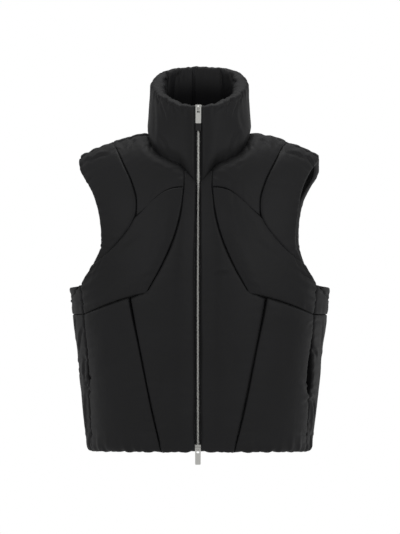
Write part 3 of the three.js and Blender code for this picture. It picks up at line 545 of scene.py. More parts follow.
def settle(x, base, out, free, grow_across, grow_up, low, high, bend):
    """Cloth that is a little too long for its seams settles over its filling. x is the grid of points,
    base and out the lining below it, free 0 at seams and 1 elsewhere, low and high the heights that
    the filling allows, bend how far the cloth resists small folds."""
    x, base, out, weight, low, high = (
        values.astype(np.float32) for values in (x, base, out, free, low, high)
    )
    rest_across = lengths_between(x[:, :-1], x[:, 1:]) * (grow_across[:, :-1] + grow_across[:, 1:]) / 2
    rest_up = lengths_between(x[:-1], x[1:]) * (grow_up[:-1] + grow_up[1:]) / 2
    grow = (grow_across + grow_up)[:-1, :-1] / 2
    rest_slant = lengths_between(x[:-1, :-1], x[1:, 1:]) * grow
    rest_other = lengths_between(x[1:, :-1], x[:-1, 1:]) * grow
    bend_across = rest_across[:, :-1] + rest_across[:, 1:]
    bend_up = rest_up[:-1] + rest_up[1:]
    speed = np.zeros_like(x)
    for _ in range(CLOTH_PASSES):
        before = x.copy()
        x = x + speed * SPEED_KEPT + grid_normals(x) * (CLOTH_PUSH * weight)[..., None]
        level, upright = (x, weight), (x.swapaxes(0, 1), weight.T)
        lower, upper = (x[:-1], weight[:-1]), (x[1:], weight[1:])
        for k in (0, 1):
            pull_pairs(level, level, rest_across, 1, k)
            pull_pairs(upright, upright, rest_up.T, 1, k)
        for k in (0, 1):
            pull_pairs(lower, upper, rest_slant, SLANT_SHARE, k)
            pull_pairs(upper, lower, rest_other, SLANT_SHARE, k)
        for k in (0, 1, 2):
            pull_pairs(level, level, bend_across, bend, k, 2)
            pull_pairs(upright, upright, bend_up.T, bend, k, 2)
        height = np.einsum("...i,...i", x - base, out)
        excess = np.maximum(height - high, 0) - np.maximum(low - height, 0)
        x = x - out * (HEIGHT_SHARE * excess * weight)[..., None]
        speed = x - before
    return x.astype(float)


def mesh_object(name, points, faces, uvs=None):
    mesh = bpy.data.meshes.new(name)
    mesh.from_pydata((np.asarray(points) * MM).tolist(), [], faces)
    mesh.polygons.foreach_set("use_smooth", np.ones(len(mesh.polygons), bool))
    if uvs is not None:
        layer = mesh.uv_layers.new(name="cloth")
        corners = np.empty(len(mesh.loops), int)
        mesh.loops.foreach_get("vertex_index", corners)
        layer.data.foreach_set("uv", (np.asarray(uvs)[corners] * MM).ravel())
    mesh.validate()
    return add_object(name, mesh)


def grid_faces(rows, columns, start=0, flip=False):
    index = start + np.arange(rows * columns).reshape(rows, columns)
    a, b, c, d = index[:-1, :-1], index[:-1, 1:], index[1:, 1:], index[1:, :-1]
    order = (a, d, c, b) if flip else (a, b, c, d)
    return np.stack([corner.ravel() for corner in order], -1).tolist()


def rim_faces(outer_ring, inner_ring):
    n = len(outer_ring)
    return [
        (outer_ring[k], inner_ring[k], inner_ring[(k + 1) % n], outer_ring[(k + 1) % n])
        for k in range(n)
    ]


def ring_of(rows, columns, start=0):
    index = start + np.arange(rows * columns).reshape(rows, columns)
    return [*index[0], *index[1:, -1], *index[-1, -2::-1], *index[-2:0:-1, 0]]


neck_half = [neck_at_zip, neck_front, neck_back_half]
neckline = neck_half + [mirrored(line)[::-1] for line in neck_half[::-1]]
neck_spots = on_body(resampled(neckline, NECK_STEPS))


def nearest(spots, targets):
    """How far each spot is from the nearest target."""
    flat = spots.reshape(-1, 3)
    best = np.full(len(flat), 1e9)
    for target in targets:
        best = np.minimum(best, np.sum((flat - target) ** 2, 1))
    return np.sqrt(best).reshape(spots.shape[:-1])


def zip_dip(distance):
    """The share of the padding at a distance from the zip's edge, which rises from it gently."""
    return ZIP_SHARE + (1 - ZIP_SHARE) * np.sin(np.pi / 2 * np.minimum(distance / ZIP_SWELL_WIDTH, 1))


# Puckers stand half a wavelength apart: how far off that one may be, and the height of the lowest
PUCKER_SHIFT = 0.16
PUCKER_LEAST = 0.25
# How far from its seam a pucker is whole, and how it dies away after that
PUCKER_START = 3.0
PUCKER_FALL = 1.5
# Their wavelengths, which are also how far in they reach, and shares of the height
PUCKER_WAVES = ((19, 1.0), (10, 0.6))
# Their height drifts along the seam: wavelength, mean, change and least
PUCKER_DRIFT = (80, 0.7, 0.6, 0.1)
# How far in they reach drifts too: wavelength and change
REACH_DRIFT = (23, 0.45)
# How high they are along a side that gives no height, and the share that the collar doesn't press down
PUCKERS = 0.35
PUCKERS_KEPT = 0.4


def pucker_line(rng, run, wavelength):
    """Uneven waves along a seam, from about -1 to 1, for points at the distances in run."""
    spots = np.arange(-2 * wavelength, run.max() + 2 * wavelength, wavelength / 2)
    count = len(spots)
    spots = spots + rng.uniform(-PUCKER_SHIFT, PUCKER_SHIFT, count) * wavelength
    heights = np.where(np.arange(count) % 2, 1, -1) * rng.uniform(PUCKER_LEAST, 1.0, count)
    t = np.interp(run, spots, np.arange(count))
    k = np.clip(t.astype(int), 0, count - 2)
    blend = (1 - np.cos(np.pi * (t - k))) / 2
    return heights[k] * (1 - blend) + heights[k + 1] * blend


def pucker_reach(rng, run):
    wavelength, change = REACH_DRIFT
    return 1 + change * pucker_line(rng, run, wavelength)


def fading(distance, reach):
    return np.exp(-((distance / reach) ** PUCKER_FALL))


# Places where a seam is drawn in less or more than usual: x, z, how far round it, and the share there
UNEVEN_SEAMS = np.array([
    (88, -142, 20, 0.12), (60, -300, 30, 0.8), (160, -324, 50, 2.0), (220, -337, 22, 0.25),
    (156, -37, 26, 0.3), (25, -90, 18, -0.3), (28, -130, 18, 0.4), (150, -218, 38, 1.7),
], float)


def seam_depth(spots):
    """How deep a seam is drawn in at each spot, as a share of the usual depth."""
    depth = np.ones(spots.shape[:-1])
    for x, z, reach, share in UNEVEN_SEAMS:
        away = np.hypot(np.abs(spots[..., 0]) - x, spots[..., 2] - z) / reach
        depth -= (1 - share) * np.exp(-away ** 2)
    return np.maximum(depth, 0)


# Creases in front and behind: x and z of their middle, slope in degrees, length, half width and depth
FRONT_CREASES = np.array([
    (41, -262, 12, 18, 2.4, 3.4), (-190, -461, 71, 28, 2.8, 2.8), (186, -480, -74, 24, 2.8, 1.6),
    (-34, -330, 88, 90, 7.0, 0.5), (44, -350, 92, 110, 7.0, 0.6), (62, -420, -86, 60, 6.0, 0.5),
    (-60, -470, 80, 70, 7.0, 0.5), (150, -400, 86, 80, 8.0, 0.5), (-150, -390, 94, 90, 8.0, 0.5),
    (-120, -215, 40, 50, 6.0, 0.5), (118, -220, -40, 50, 6.0, 0.5), (-46, -196, 96, 50, 6.0, 0.5),
    (-35, -231, -20, 20, 2.6, 0.6), (-79, -124, 50, 16, 2.4, 0.7), (88, -128, -45, 14, 2.4, 0.5),
    (-206, -432, 62, 44, 3.0, 1.6), (-199, -452, -48, 26, 3.0, 1.2), (-212, -398, 80, 40, 3.0, 1.2),
    (207, -420, -78, 46, 3.2, 1.4), (196, -352, 24, 24, 3.0, 0.8), (-190, -565, 38, 30, 3.0, 0.9),
    (184, -560, -30, 30, 3.0, 0.9), (-88, -36, 72, 20, 2.4, 2.0), (-96, -42, 66, 14, 2.2, 1.4),
    (88, -38, -70, 22, 2.4, 2.0), (98, -44, -60, 16, 2.2, 1.4), (-66, -76, -38, 24, 2.2, 1.4),
    (70, -74, 36, 22, 2.2, 1.2), (-122, -36, 46, 18, 2.2, 2.2), (-176, -57, 16, 26, 2.4, 2.4),
    (-192, -64, -24, 18, 2.2, 1.8), (-150, -46, 30, 16, 2.2, 1.4), (118, -36, -34, 20, 2.2, 2.2),
    (146, -45, -58, 18, 2.2, 2.0), (172, -56, -20, 24, 2.4, 2.4), (196, -65, -50, 18, 2.2, 2.0),
    (-196, -100, 66, 22, 2.4, 1.2), (194, -112, -58, 24, 2.4, 1.2), (-150, -205, 40, 18, 2.4, 0.5),
], float)
BACK_CREASES = np.array([
    (-60, -210, 16, 34, 3.0, 1.1), (74, -262, -24, 30, 3.0, 0.9), (-130, -300, 34, 32, 3.0, 1.1),
    (150, -420, -60, 42, 3.0, 1.2), (-170, -470, 66, 40, 3.0, 1.2), (20, -110, 8, 28, 3.0, 0.9),
    (-20, -500, -12, 30, 3.0, 0.7), (110, -560, 28, 30, 3.0, 0.9),
], float)

# The same beside the side seams, on the wearer's right and left: y, z, slope, length, width, depth
RIGHT_CREASES = np.array([
    (-34, -384, 66, 46, 3.2, 2.6), (-22, -356, 72, 28, 3.0, 1.8), (-36, -440, 84, 44, 3.6, 2.2),
    (-38, -474, -30, 20, 4.0, 3.0), (-24, -524, 84, 84, 4.4, -3.6), (-30, -572, 66, 34, 3.6, 2.2),
    (-8, -460, 78, 50, 3.6, 1.6), (-18, -596, 30, 26, 3.6, 1.4), (30, -420, 70, 46, 4.0, 1.6),
], float)
LEFT_CREASES = np.array([
    (-38, -406, -46, 22, 3.2, 3.0), (-24, -372, -78, 44, 3.2, 1.6), (-30, -492, 8, 44, 3.8, 3.2),
    (-22, -512, -66, 34, 3.4, 2.6), (-28, -530, -84, 66, 4.2, -4.0), (-20, -574, -74, 46, 3.6, 2.6),
    (-32, -590, -86, 30, 3.4, 1.8), (-8, -440, -82, 60, 3.6, 1.4), (34, -500, -60, 50, 4.0, 1.8),
    (40, -380, 50, 34, 4.0, 1.4),
], float)
SIDE_CREASES_FROM = 170.0
# How far a crease bows at its ends, and its ridge: how many half widths away, and its share of the depth
CREASE_BOW = 2.5
RIDGE_AWAY = 1.5
RIDGE_SHARE = 0.7


def crease(across, up, slope, length, width, depth):
    """A furrow with a ridge beside it, round a place that lies at zero across and up."""
    angle = math.radians(slope)
    ahead = (across * math.cos(angle) + up * math.sin(angle)) / (length / 2)
    off = (up * math.cos(angle) - across * math.sin(angle) + CREASE_BOW * ahead ** 2) / width
    ridge_beside = RIDGE_SHARE * np.exp(-((off - RIDGE_AWAY) ** 2))
    return depth * (ridge_beside - np.exp(-off ** 2)) * np.exp(-ahead ** 4)


def creases(spots):
    """How far the creases push the cloth in or out at each spot."""
    x, y, z = np.moveaxis(spots, -1, 0)
    change = np.zeros(x.shape)
    for side, table in ((-1, FRONT_CREASES), (1, BACK_CREASES)):
        for at_x, at_z, *form in table:
            change += np.where(y * side > 0, crease(x - at_x, z - at_z, *form), 0)
    for side, table in ((-1, RIGHT_CREASES), (1, LEFT_CREASES)):
        for at_y, at_z, *form in table:
            change += np.where(x * side > SIDE_CREASES_FROM, crease((y - at_y) * side, z - at_z, *form), 0)
    return change


SIDES = ("bottom", "right", "top", "left")


def padding_share(base, up, distance, meets_zip, shallow, hem):
    """How full the padding is at each point, and what the creases and the noise follow: the groove
    along the seams, the panel's crown and the dip under the collar."""
    groove, crown = np.ones(up.shape), np.ones(up.shape)
    drawn_in = seam_depth(base)
    groove_width = GROOVE_WIDTH * np.maximum(drawn_in, 1) ** GROOVE_SPREAD
    for side in SIDES:
        if side == "left" and meets_zip or side == "bottom" and hem:
            continue
        depth = SHALLOW_SHARE if side in shallow else 1
        groove = groove * (1 - depth * (1 - swell(distance[side], groove_width)))
        crown = crown * (1 - depth * (1 - swell(distance[side], CROWN_WIDTH)))
    free_share = groove * (1 - CROWN_SHARE) + crown * CROWN_SHARE
    from_neck = np.minimum(nearest(base, neck_spots) / NECK_SWELL_WIDTH, 1)
    under_collar = NECK_SHARE + (1 - NECK_SHARE) * np.sin(np.pi / 2 * from_neck)
    full = (1 - (1 - SEAM_SHARE) * (1 - free_share) * drawn_in) * under_collar
    if meets_zip:
        full = full * zip_dip(distance["left"])
    if hem:
        full = full * (HEM_SHARE + (1 - HEM_SHARE) * swell(up, HEM_ROUNDING))
    return full, groove, crown, under_collar


def puckered(rng, along, distance, puckers, under_collar):
    """How far the puckers along each side push the cloth out, and how much it is gathered there."""
    change, gathered = np.zeros(under_collar.shape), np.zeros(under_collar.shape)
    drift, mean, swing, least = PUCKER_DRIFT
    for side in SIDES:
        strength = puckers.get(side, PUCKERS) * (PUCKERS_KEPT + (1 - PUCKERS_KEPT) * under_collar)
        strength = strength * np.clip(mean + swing * pucker_line(rng, along[side], drift), least, None)
        reach = pucker_reach(rng, along[side])
        for wavelength, share in PUCKER_WAVES:
            waves = pucker_line(rng, along[side], wavelength)
            starting = np.minimum(distance[side] / PUCKER_START, 1)
            pushed = share * strength * starting * fading(distance[side], wavelength * reach)
            change += pushed * waves
            gathered += pushed
    return change, gathered


def padded_cloth(node, points, faces, uvs):
    """The padded cloth that stands for a node."""
    obj = mesh_object(f"{node}_cloth", points, faces, uvs)
    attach(obj, "vest")
    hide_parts(node)
    return obj


def padded_panel(node, seed, bottom, right, top, left, meets_zip=False, puckers=(), mirror=False,
                 shallow=(), hem=False):
    """One panel as a closed mesh: its outer cloth settled over the filling, its lining and its edges.
    Its left side is flat where it meets the zip and its bottom rounded where it is a hem. puckers holds
    the height of the puckers along a side, and shallow the sides whose seam is drawn in less."""
    rng = np.random.default_rng(seed)
    places = grid_between(bottom, right, top, left)
    base = on_body(places)
    out = out_of_body(places)
    across, up = runs(base, 1), runs(base, 0)
    edges = (base[0], base[:, -1], base[-1], base[:, 0])
    distance = {side: nearest(base, edge) for side, edge in zip(SIDES, edges)}
    along = {
        "left": up[:, :1] + 0 * up, "right": up[:, -1:] + 0 * up,
        "bottom": across[:1] + 0 * across, "top": across[-1:] + 0 * across,
    }
    full, groove, crown, under_collar = padding_share(base, up, distance, meets_zip, shallow, hem)
    height = SEAM_THICKNESS + PADDING * full + uneven(rng, full.shape, PANEL_NOISE) * crown
    marked = base * (-1, 1, 1) if mirror else base
    change, gathered = puckered(rng, along, distance, dict(puckers), under_collar)
    height = height + creases(marked) * groove * under_collar + change
    x = base + out * height[..., None]
    if meets_zip:
        x[..., 0] -= ZIP_OVERHANG * np.exp(-((distance["left"] / ZIP_OVERHANG_REACH) ** 2))
    free = inner_points(full.shape)
    sewn = base + out * (SEAM_THICKNESS + PADDING * full)[..., None]
    if meets_zip:
        sewn[:, 0, 0] -= ZIP_OVERHANG
    x[free == 0] = sewn[free == 0]
    grow = 1 + CLOTH_GROWTH * np.minimum(gathered, GATHER_MOST)
    slack = BALLOON[0] + BALLOON[1] * crown
    x = settle(x, base, out, free, grow, grow, height - slack, height + slack, PANEL_BEND)
    if mirror:
        x, base = x * (-1, 1, 1), base * (-1, 1, 1)
    rows, columns = full.shape
    start = rows * columns
    points = np.concatenate([x.reshape(-1, 3), base.reshape(-1, 3)])
    uv = np.stack([across - across.mean(), up], -1).reshape(-1, 2)
    faces = grid_faces(rows, columns, 0, mirror) + grid_faces(rows, columns, start, not mirror)
    walls = rim_faces(ring_of(rows, columns), ring_of(rows, columns, start))
    faces += [face[::-1] for face in walls] if mirror else walls
    padded_cloth(node, points, faces, np.concatenate([uv, uv]))


FRONT_PANELS = {
    "front_center": dict(
        bottom=[hem_inner],
        right=turned([stand_seam, bust_seam, waist_inner, skirt_seam]),
        top=[neck_at_zip],
        left=[zip_edge],
        meets_zip=True,
        puckers=(("bottom", 2.3), ("left", 0.2)),
        hem=True,
    ),
    "front_yoke": dict(
        puckers=(("top", 2.2), ("left", 1.0)),
        shallow=("top",),
        bottom=[chest_arc],
        right=turned([shoulder_arc]),
        top=[shoulder_inner],
        left=turned([stand_seam]) + [neck_front],
    ),
    "front_shoulder": dict(
        puckers=(("top", 2.2), ("right", 1.0)),
        shallow=("top",),
        bottom=[np.repeat(arc_foot[-1:], 9, 0)],
        right=turned([armhole_front]),
        top=[shoulder_outer],
        left=turned([shoulder_arc, arc_foot]),
    ),
    "front_chest": dict(
        puckers=(("right", 1.5), ("bottom", 0.6)),
        bottom=[waist_inner, waist_outer],
        right=turned([armhole_front_foot, side_upper]),
        top=[chest_arc, arc_foot],
        left=turned([bust_seam]),
    ),
    "front_side": dict(
        puckers=(("right", 1.1), ("bottom", 2.3)),
        hem=True,
        bottom=[hem_outer],
        right=turned([pocket_edge(side_lower, POCKET_GAPES[1])]),
        top=[waist_outer],
        left=turned([skirt_seam]),
    ),
}

# Edges that lie elsewhere on the wearer's left
LEFT_ONLY = {
    "front_shoulder": dict(right=turned([armhole_front_l])),
    "front_side": dict(right=turned([pocket_edge(side_lower, POCKET_GAPES[0])])),
}

LEFT_SEED = 10
RIGHT_SEED = 20
for k, (name, sides) in enumerate(FRONT_PANELS.items()):
    left_sides = {**sides, **LEFT_ONLY.get(name, {})}
    padded_panel(f"{name}_l", seed=LEFT_SEED + k, **left_sides)
    padded_panel(f"{name}_r", seed=RIGHT_SEED + k, mirror=True, **sides)

upper_left = turned([side_upper]) + [armhole_back_foot, back_arc]
upper_top_half = turned([shoulder_inner_back]) + [neck_back_half]
padded_panel(
    "back_upper",
    seed=31,
    puckers=(("bottom", 0.6), ("left", 1.3), ("right", 1.3), ("top", 1.7)),
    shallow=("top",),
    bottom=[waist_back],
    right=[mirrored(line) for line in upper_left],
    top=upper_top_half + turned([mirrored(line) for line in upper_top_half]),
    left=upper_left,
)
padded_panel(
    "back_lower",
    seed=32,
    puckers=(("bottom", 2.3), ("left", 1.3), ("right", 1.3)),
    hem=True,
    bottom=[hem_back],
    right=turned([mirrored(side_lower)]),
    top=[waist_back],
    left=turned([pocket_edge(side_lower, -POCKET_BACK_GAPE)]),
)
shoulder_back = dict(
    puckers=(("top", 2.0), ("left", 1.2)),
    shallow=("top",),
    bottom=[np.repeat(armhole_back[:1], 9, 0)],
    right=[back_arc],
    top=turned([shoulder_outer_back]),
    left=[armhole_back],
)
for side, seed in (("l", 33), ("r", 34)):
    padded_panel(f"back_shoulder_{side}", seed, mirror=side == "r", **shoulder_back)

# Collar
RIM_HALF_WIDTH = 77.0
RIM_HALF_DEPTH = 73.0
COLLAR_CENTRE_Y = -14.0
RIM_FRONT_Z = 45.0
RIM_RISE = 84.5
RIM_CLIMB = 0.85
COLLAR_OUTER_PAD = 9.0
COLLAR_INNER_PAD = 14.0
COLLAR_FOOT = -0.03
COLLAR_LOW = 0.26
COLLAR_RIM = 0.9
# The padding inside the collar thins towards the rim: by what share, and from how far up
COLLAR_THINNING = 0.75
COLLAR_THINS_FROM = 0.35
# The rim stands a little higher on both sides of the back: how much, where it is, and how far it reaches
RIM_CORNER = 4.6
RIM_CORNER_TURN = math.radians(128)
RIM_CORNER_REACH = math.radians(26)
RIM_EDGE = 2.0
RIM_STRAIGHT = 50.0
COLLAR_HEIGHT = 150.0
COLLAR_SEED = 41
COLLAR_NOISE = ((4, 0.15), (12, 0.8))
# The relief of the collar is whole where its padding is over a quarter full
RELIEF_RISE = 4.0
# Puckers below the rim: wavelength, how far they reach, and height. At the foot this share of them
COLLAR_PUCKERS = ((17, 17, 2.0), (9, 11, 1.4))
FOOT_PUCKERS = 0.35
# How the rim rises and falls: height and wavelength, how far down that reaches, and how far from the
# zip it is whole
RIM_WAVES = ((1.3, 26), (0.7, 12))
RIM_WAVES_DEPTH = 9.0
RIM_WAVES_FROM_ZIP = 12.0
# Its share of that behind the middle, and how far in front of it the waves are whole
RIM_WAVES_BEHIND = 0.3
RIM_WAVES_WHOLE = 60.0
# How far the folds inside lean over, how fast, and how much of them is lost at the rim
FOLD_LEAN = 8.0
FOLD_TURN = 2.2
FOLD_LOSS = 0.3
# How much longer the cloth is than the collar: round it outside and inside, and up it
COLLAR_GROWTH = (0.015, 0.02)
COLLAR_GROWTH_UP = 0.005
# It is twice that at the rim, and less below over this distance
RIM_GROWTH_DEPTH = 25.0
# How far it may lie below and above its drawn height
COLLAR_BALLOON = (1.5, 2.6)
# Painted shade inside the collar: how far below the rim it starts to darken, and where it is darkest
INSIDE_SHADE_DEPTHS = (4, 60)


def smoothstep(value, low, high):
    t = np.clip((value - low) / (high - low), 0, 1)
    return t * t * (3 - 2 * t)


def collar_shape(columns):
    """The collar's foot, inside and outside, its rim and the way out at the rim, for points round it
    from zip to zip."""
    places = resampled(neckline, columns)
    spots = on_body(places)
    out = out_of_body(places)
    along = np.gradient(spots, axis=0)
    up = unit(np.cross(out, along))
    inner = spots + up * (SEAM_GAP / 2)
    outer = inner + out * SEAM_THICKNESS
    forward = COLLAR_CENTRE_Y - spots[:, 1]
    front_reach = forward[0]
    back_reach = -forward.min()
    x = np.abs(spots[:, 0])
    turn = np.arctan2(x / NECK_POINT, forward / np.where(forward > 0, front_reach, back_reach))
    zip_turn = math.atan2(ZIP_EDGE / NECK_POINT, 1)
    zip_x = ZIP_EDGE + SEAM_GAP / 2
    straighten = (zip_x - RIM_HALF_WIDTH * math.sin(zip_turn)) * (1 - smoothstep(x, ZIP_EDGE, RIM_STRAIGHT))
    side = np.where(spots[:, 0] < 0, -1, 1)
    rim = np.stack([
        side * (RIM_HALF_WIDTH * np.sin(turn) + np.where(forward > 0, straighten, 0)),
        COLLAR_CENTRE_Y - RIM_HALF_DEPTH * np.cos(turn),
        RIM_FRONT_Z + RIM_RISE * ((1 - np.cos(turn)) / 2) ** RIM_CLIMB
        + RIM_CORNER * np.exp(-(((turn - RIM_CORNER_TURN) / RIM_CORNER_REACH) ** 2)),
    ], -1)
    rim_out = unit(np.stack([side * np.sin(turn) / RIM_HALF_WIDTH, -np.cos(turn) / RIM_HALF_DEPTH,
                             0 * turn], -1))
    return inner, outer, rim, rim_out


# Soft folds up the collar's inside: how far round from the zip, width, depth
INNER_FOLDS = np.array([
    (88, 7, 3.0), (128, 6, 3.4), (154, 5, 2.6), (176, 9, 1.2), (198, 5, 3.2), (214, 4, 2.2),
    (240, 6, 3.6), (272, 8, 2.6), (300, 6, 2.0), (60, 6, 2.0), (82, 24, -8.0), (278, 24, -8.0),
], float)
# Creases of its outside: how far round from the zip, the share of its height, slope, length, width, depth
OUTER_CREASES = np.array([
    (38, 0.93, 15, 17, 2.3, 3.0), (57, 0.90, 32, 19, 2.4, 3.2), (30, 0.84, 70, 16, 2.4, 2.0),
    (322, 0.93, -20, 18, 2.3, 2.8), (305, 0.89, -36, 17, 2.4, 2.8), (334, 0.86, -62, 18, 2.4, 2.0),
    (24, 0.88, 12, 20, 2.6, 1.0), (44, 0.80, 55, 30, 3.0, 1.6), (52, 0.55, 100, 46, 4.5, 0.9),
    (66, 0.93, 70, 22, 2.6, 1.1), (80, 0.70, 40, 26, 3.2, 0.7), (98, 0.86, 95, 30, 3.0, 0.7),
    (40, 0.30, 60, 34, 5.0, 1.4), (75, 0.20, 110, 30, 4.0, 0.5), (336, 0.90, -10, 20, 2.6, 1.4),
    (318, 0.78, -58, 34, 3.0, 1.7), (305, 0.50, -80, 60, 5.0, 1.0), (296, 0.92, -70, 24, 2.6, 1.1),
    (282, 0.72, -20, 24, 3.0, 0.7), (262, 0.88, -95, 26, 3.0, 0.7), (322, 0.28, -50, 30, 4.5, 1.4),
    (280, 0.18, -110, 26, 4.0, 0.5), (130, 0.7, 80, 40, 4.0, 1.3), (160, 0.4, 100, 50, 4.5, 1.4),
    (195, 0.75, 85, 36, 4.0, 1.3), (225, 0.45, 96, 44, 4.0, 1.3),
], float)
# And creases of its inside, given the same way
INNER_CREASES = np.array([
    (66, 0.92, 14, 34, 3.0, 3.4), (92, 0.84, -32, 34, 3.2, 3.2), (106, 0.93, -12, 26, 3.0, 2.6),
    (118, 0.76, 78, 44, 3.6, 3.0), (78, 0.72, 60, 30, 3.4, 2.4), (150, 0.94, 30, 16, 2.6, 1.6),
    (294, 0.92, -14, 30, 3.0, 3.4), (268, 0.86, 36, 34, 3.2, 3.2), (252, 0.94, 16, 24, 3.0, 2.8),
    (240, 0.78, -80, 44, 3.6, 3.0), (284, 0.70, -56, 28, 3.4, 2.4), (212, 0.93, -26, 16, 2.6, 1.6),
], float)


def collar_relief(rng, round_run, degrees, height, tall, outside):
    """How far noise, puckers, folds and creases push the collar's cloth out. round_run is the way
    round it from the zip, height the share of the way up and tall the whole way up."""
    shape = uneven(rng, (len(height), round_run.shape[1]), COLLAR_NOISE)
    up, below_rim = height * tall, (1 - height) * tall
    for wavelength, reach, strength in COLLAR_PUCKERS:
        waves = pucker_line(rng, round_run, wavelength)
        lengths = reach * pucker_reach(rng, round_run)
        foot_waves = pucker_line(rng, round_run, wavelength)
        shape = shape + strength * waves * fading(below_rim, lengths)
        shape = shape + FOOT_PUCKERS * strength * foot_waves * fading(up, lengths)
    folds = 0
    for place, width, depth in INNER_FOLDS:
        lean = place + FOLD_LEAN * np.sin(height * FOLD_TURN + place)
        folds = folds - depth * np.exp(-(((degrees - lean) / width) ** 2))
    marks = [
        sum(
            crease((degrees - place) / 360 * round_run.max(), (height - share) * tall, *form)
            for place, share, *form in table
        )
        for table in (OUTER_CREASES, INNER_CREASES)
    ]
    return shape + np.where(outside, marks[0], marks[1] + folds * (1 - FOLD_LOSS * height))


def collar_faces(rows, columns):
    """The grid's faces, and those that close it along the foot and at both ends."""
    index = np.arange(rows * columns).reshape(rows, columns)
    foot, last = index[0], index[-1]
    faces = grid_faces(rows, columns)
    faces += [(foot[k + 1], foot[k], last[k], last[k + 1]) for k in range(columns - 1)]
    for k in range(rows // 2 - 1):
        faces.append((index[k, 0], index[k + 1, 0], index[-2 - k, 0], index[-1 - k, 0]))
        faces.append((index[k + 1, -1], index[k, -1], index[-1 - k, -1], index[-2 - k, -1]))
    return faces


def make_collar():
    """One grid that goes up the outside, over the rim and down the inside."""
    columns = round(length_of(np.concatenate(neckline))[-1] / SPACING)
    inner, outer, rim, rim_out = collar_shape(columns)
    half_rows = round(COLLAR_HEIGHT / SPACING)
    share = np.linspace(0, 1, half_rows + 1)
    height = np.concatenate([share, share[::-1]])[:, None]
    face = np.concatenate([np.ones(half_rows + 1), -np.ones(half_rows + 1)])[:, None]
    outside = face > 0
    foot = np.where(outside[..., None], outer[None], inner[None])
    edge = rim[None] + rim_out[None] * (face * RIM_EDGE)[..., None]
    middle_foot = (inner + outer) / 2
    middle = middle_foot[None] + (rim - middle_foot)[None] * height[..., None]
    up = np.broadcast_to((rim - middle_foot)[None], middle.shape)
    outward = unit(np.cross(np.gradient(middle, axis=1), up)) * face[..., None]
    from_zip = np.minimum(
        np.linalg.norm(middle - middle[:, :1], axis=-1), np.linalg.norm(middle - middle[:, -1:], axis=-1)
    )
    rounding = np.sqrt(1 - np.clip((height - COLLAR_RIM) / (1 - COLLAR_RIM), 0, 1) ** 2)
    full = smoothstep(height, COLLAR_FOOT, COLLAR_LOW) * rounding * zip_dip(from_zip)
    full[[0, -1]] = 0
    inner_pad = COLLAR_INNER_PAD * (1 - COLLAR_THINNING * smoothstep(height, COLLAR_THINS_FROM, 1))
    pad = np.where(outside, COLLAR_OUTER_PAD, inner_pad)
    base = foot + (edge - foot) * height[..., None]
    rng = np.random.default_rng(COLLAR_SEED)
    round_run = runs(middle, 1)[half_rows][None]
    degrees = round_run / round_run.max() * 360
    tall = np.linalg.norm(rim - middle_foot, axis=-1)[None]
    below_rim = (1 - height) * tall
    shape = collar_relief(rng, round_run, degrees, height, tall, outside)
    resting = full * pad + np.minimum(full * RELIEF_RISE, 1) * shape
    x = base + outward * resting[..., None]
    waves = sum(size * pucker_line(rng, round_run, wavelength) for size, wavelength in RIM_WAVES)
    in_front = smoothstep(-middle[..., 1], -COLLAR_CENTRE_Y, RIM_WAVES_WHOLE - COLLAR_CENTRE_Y)
    waves = waves * (RIM_WAVES_BEHIND + (1 - RIM_WAVES_BEHIND) * in_front)
    x[..., 2] += waves * np.exp(-below_rim / RIM_WAVES_DEPTH) * np.minimum(from_zip / RIM_WAVES_FROM_ZIP, 1)
    zip_x = ZIP_EDGE + SEAM_GAP / 2 - ZIP_OVERHANG
    x[:, 0, 0], x[:, -1, 0] = zip_x, -zip_x
    near_rim = np.exp(-below_rim / RIM_GROWTH_DEPTH)
    grow_round = 1 + np.where(outside, *COLLAR_GROWTH) * (1 + near_rim)
    grow_up = 1 + COLLAR_GROWTH_UP * np.ones(full.shape)
    x = settle(x, base, outward, inner_points(full.shape), grow_round, grow_up,
               resting - COLLAR_BALLOON[0], resting + COLLAR_BALLOON[1], COLLAR_BEND)
    uv = np.stack([runs(base, 1), runs(base, 0)], -1).reshape(-1, 2)
    obj = padded_cloth("collar", x.reshape(-1, 3), collar_faces(*full.shape), uv)
    # Painted shade: the share of the darker tone, 0 outside and rising from just below the rim to 1 deep
    # inside the collar
    depth = np.where(outside, 0, smoothstep(below_rim, *INSIDE_SHADE_DEPTHS))
    shade = obj.data.attributes.new("inside", "FLOAT", "POINT")
    shade.data.foreach_set("value", depth.reshape(-1).astype(np.float32))


make_collar()

# Zip
ZIP_LEVEL = SEAM_THICKNESS / 2
CHAIN_HALF = 2.9
TOOTH_PITCH = 2.5
TOOTH_HEIGHT = 1.5
TOOTH_THICK = 3.0
TOOTH_BEVEL = 0.35
TOOTH_PAST_MIDDLE = 1.1
TOOTH_FLAT = 0.6
ZIP_LINE_STEPS = 120
CHAIN_FOOT_Z = -580.0
CHAIN_TOP_Z = 40.0


def zip_line():
    """The zip's middle as y and z, from the hem to the rim."""
    body = on_body(zip_edge) + out_of_body(zip_edge) * ZIP_LEVEL
    inner, outer, rim, _ = collar_shape(ZIP_LINE_STEPS)
    collar_foot = (inner[0] + outer[0]) / 2
    return np.concatenate([body[:, 1:], [collar_foot[1:], rim[0, 1:]]])


def tooth_block():
    """One bevelled tooth: its corners across, along and out from the zip's line, and its faces."""
    near, far = -TOOTH_PAST_MIDDLE, CHAIN_HALF
    corners, faces = [], [(3, 2, 1, 0), (12, 13, 14, 15)]
    for level, inset in ((-1, TOOTH_BEVEL), (-TOOTH_FLAT, 0), (TOOTH_FLAT, 0), (1, TOOTH_BEVEL)):
        a, b, half = near + inset, far - inset, TOOTH_HEIGHT / 2 - inset
        out = level * TOOTH_THICK / 2
        corners += [(a, -half, out), (b, -half, out), (b, half, out), (a, half, out)]
    for a in (0, 4, 8):
        faces += [(a + i, a + (i + 1) % 4, a + 4 + (i + 1) % 4, a + 4 + i) for i in range(4)]
    return np.array(corners), np.array(faces)


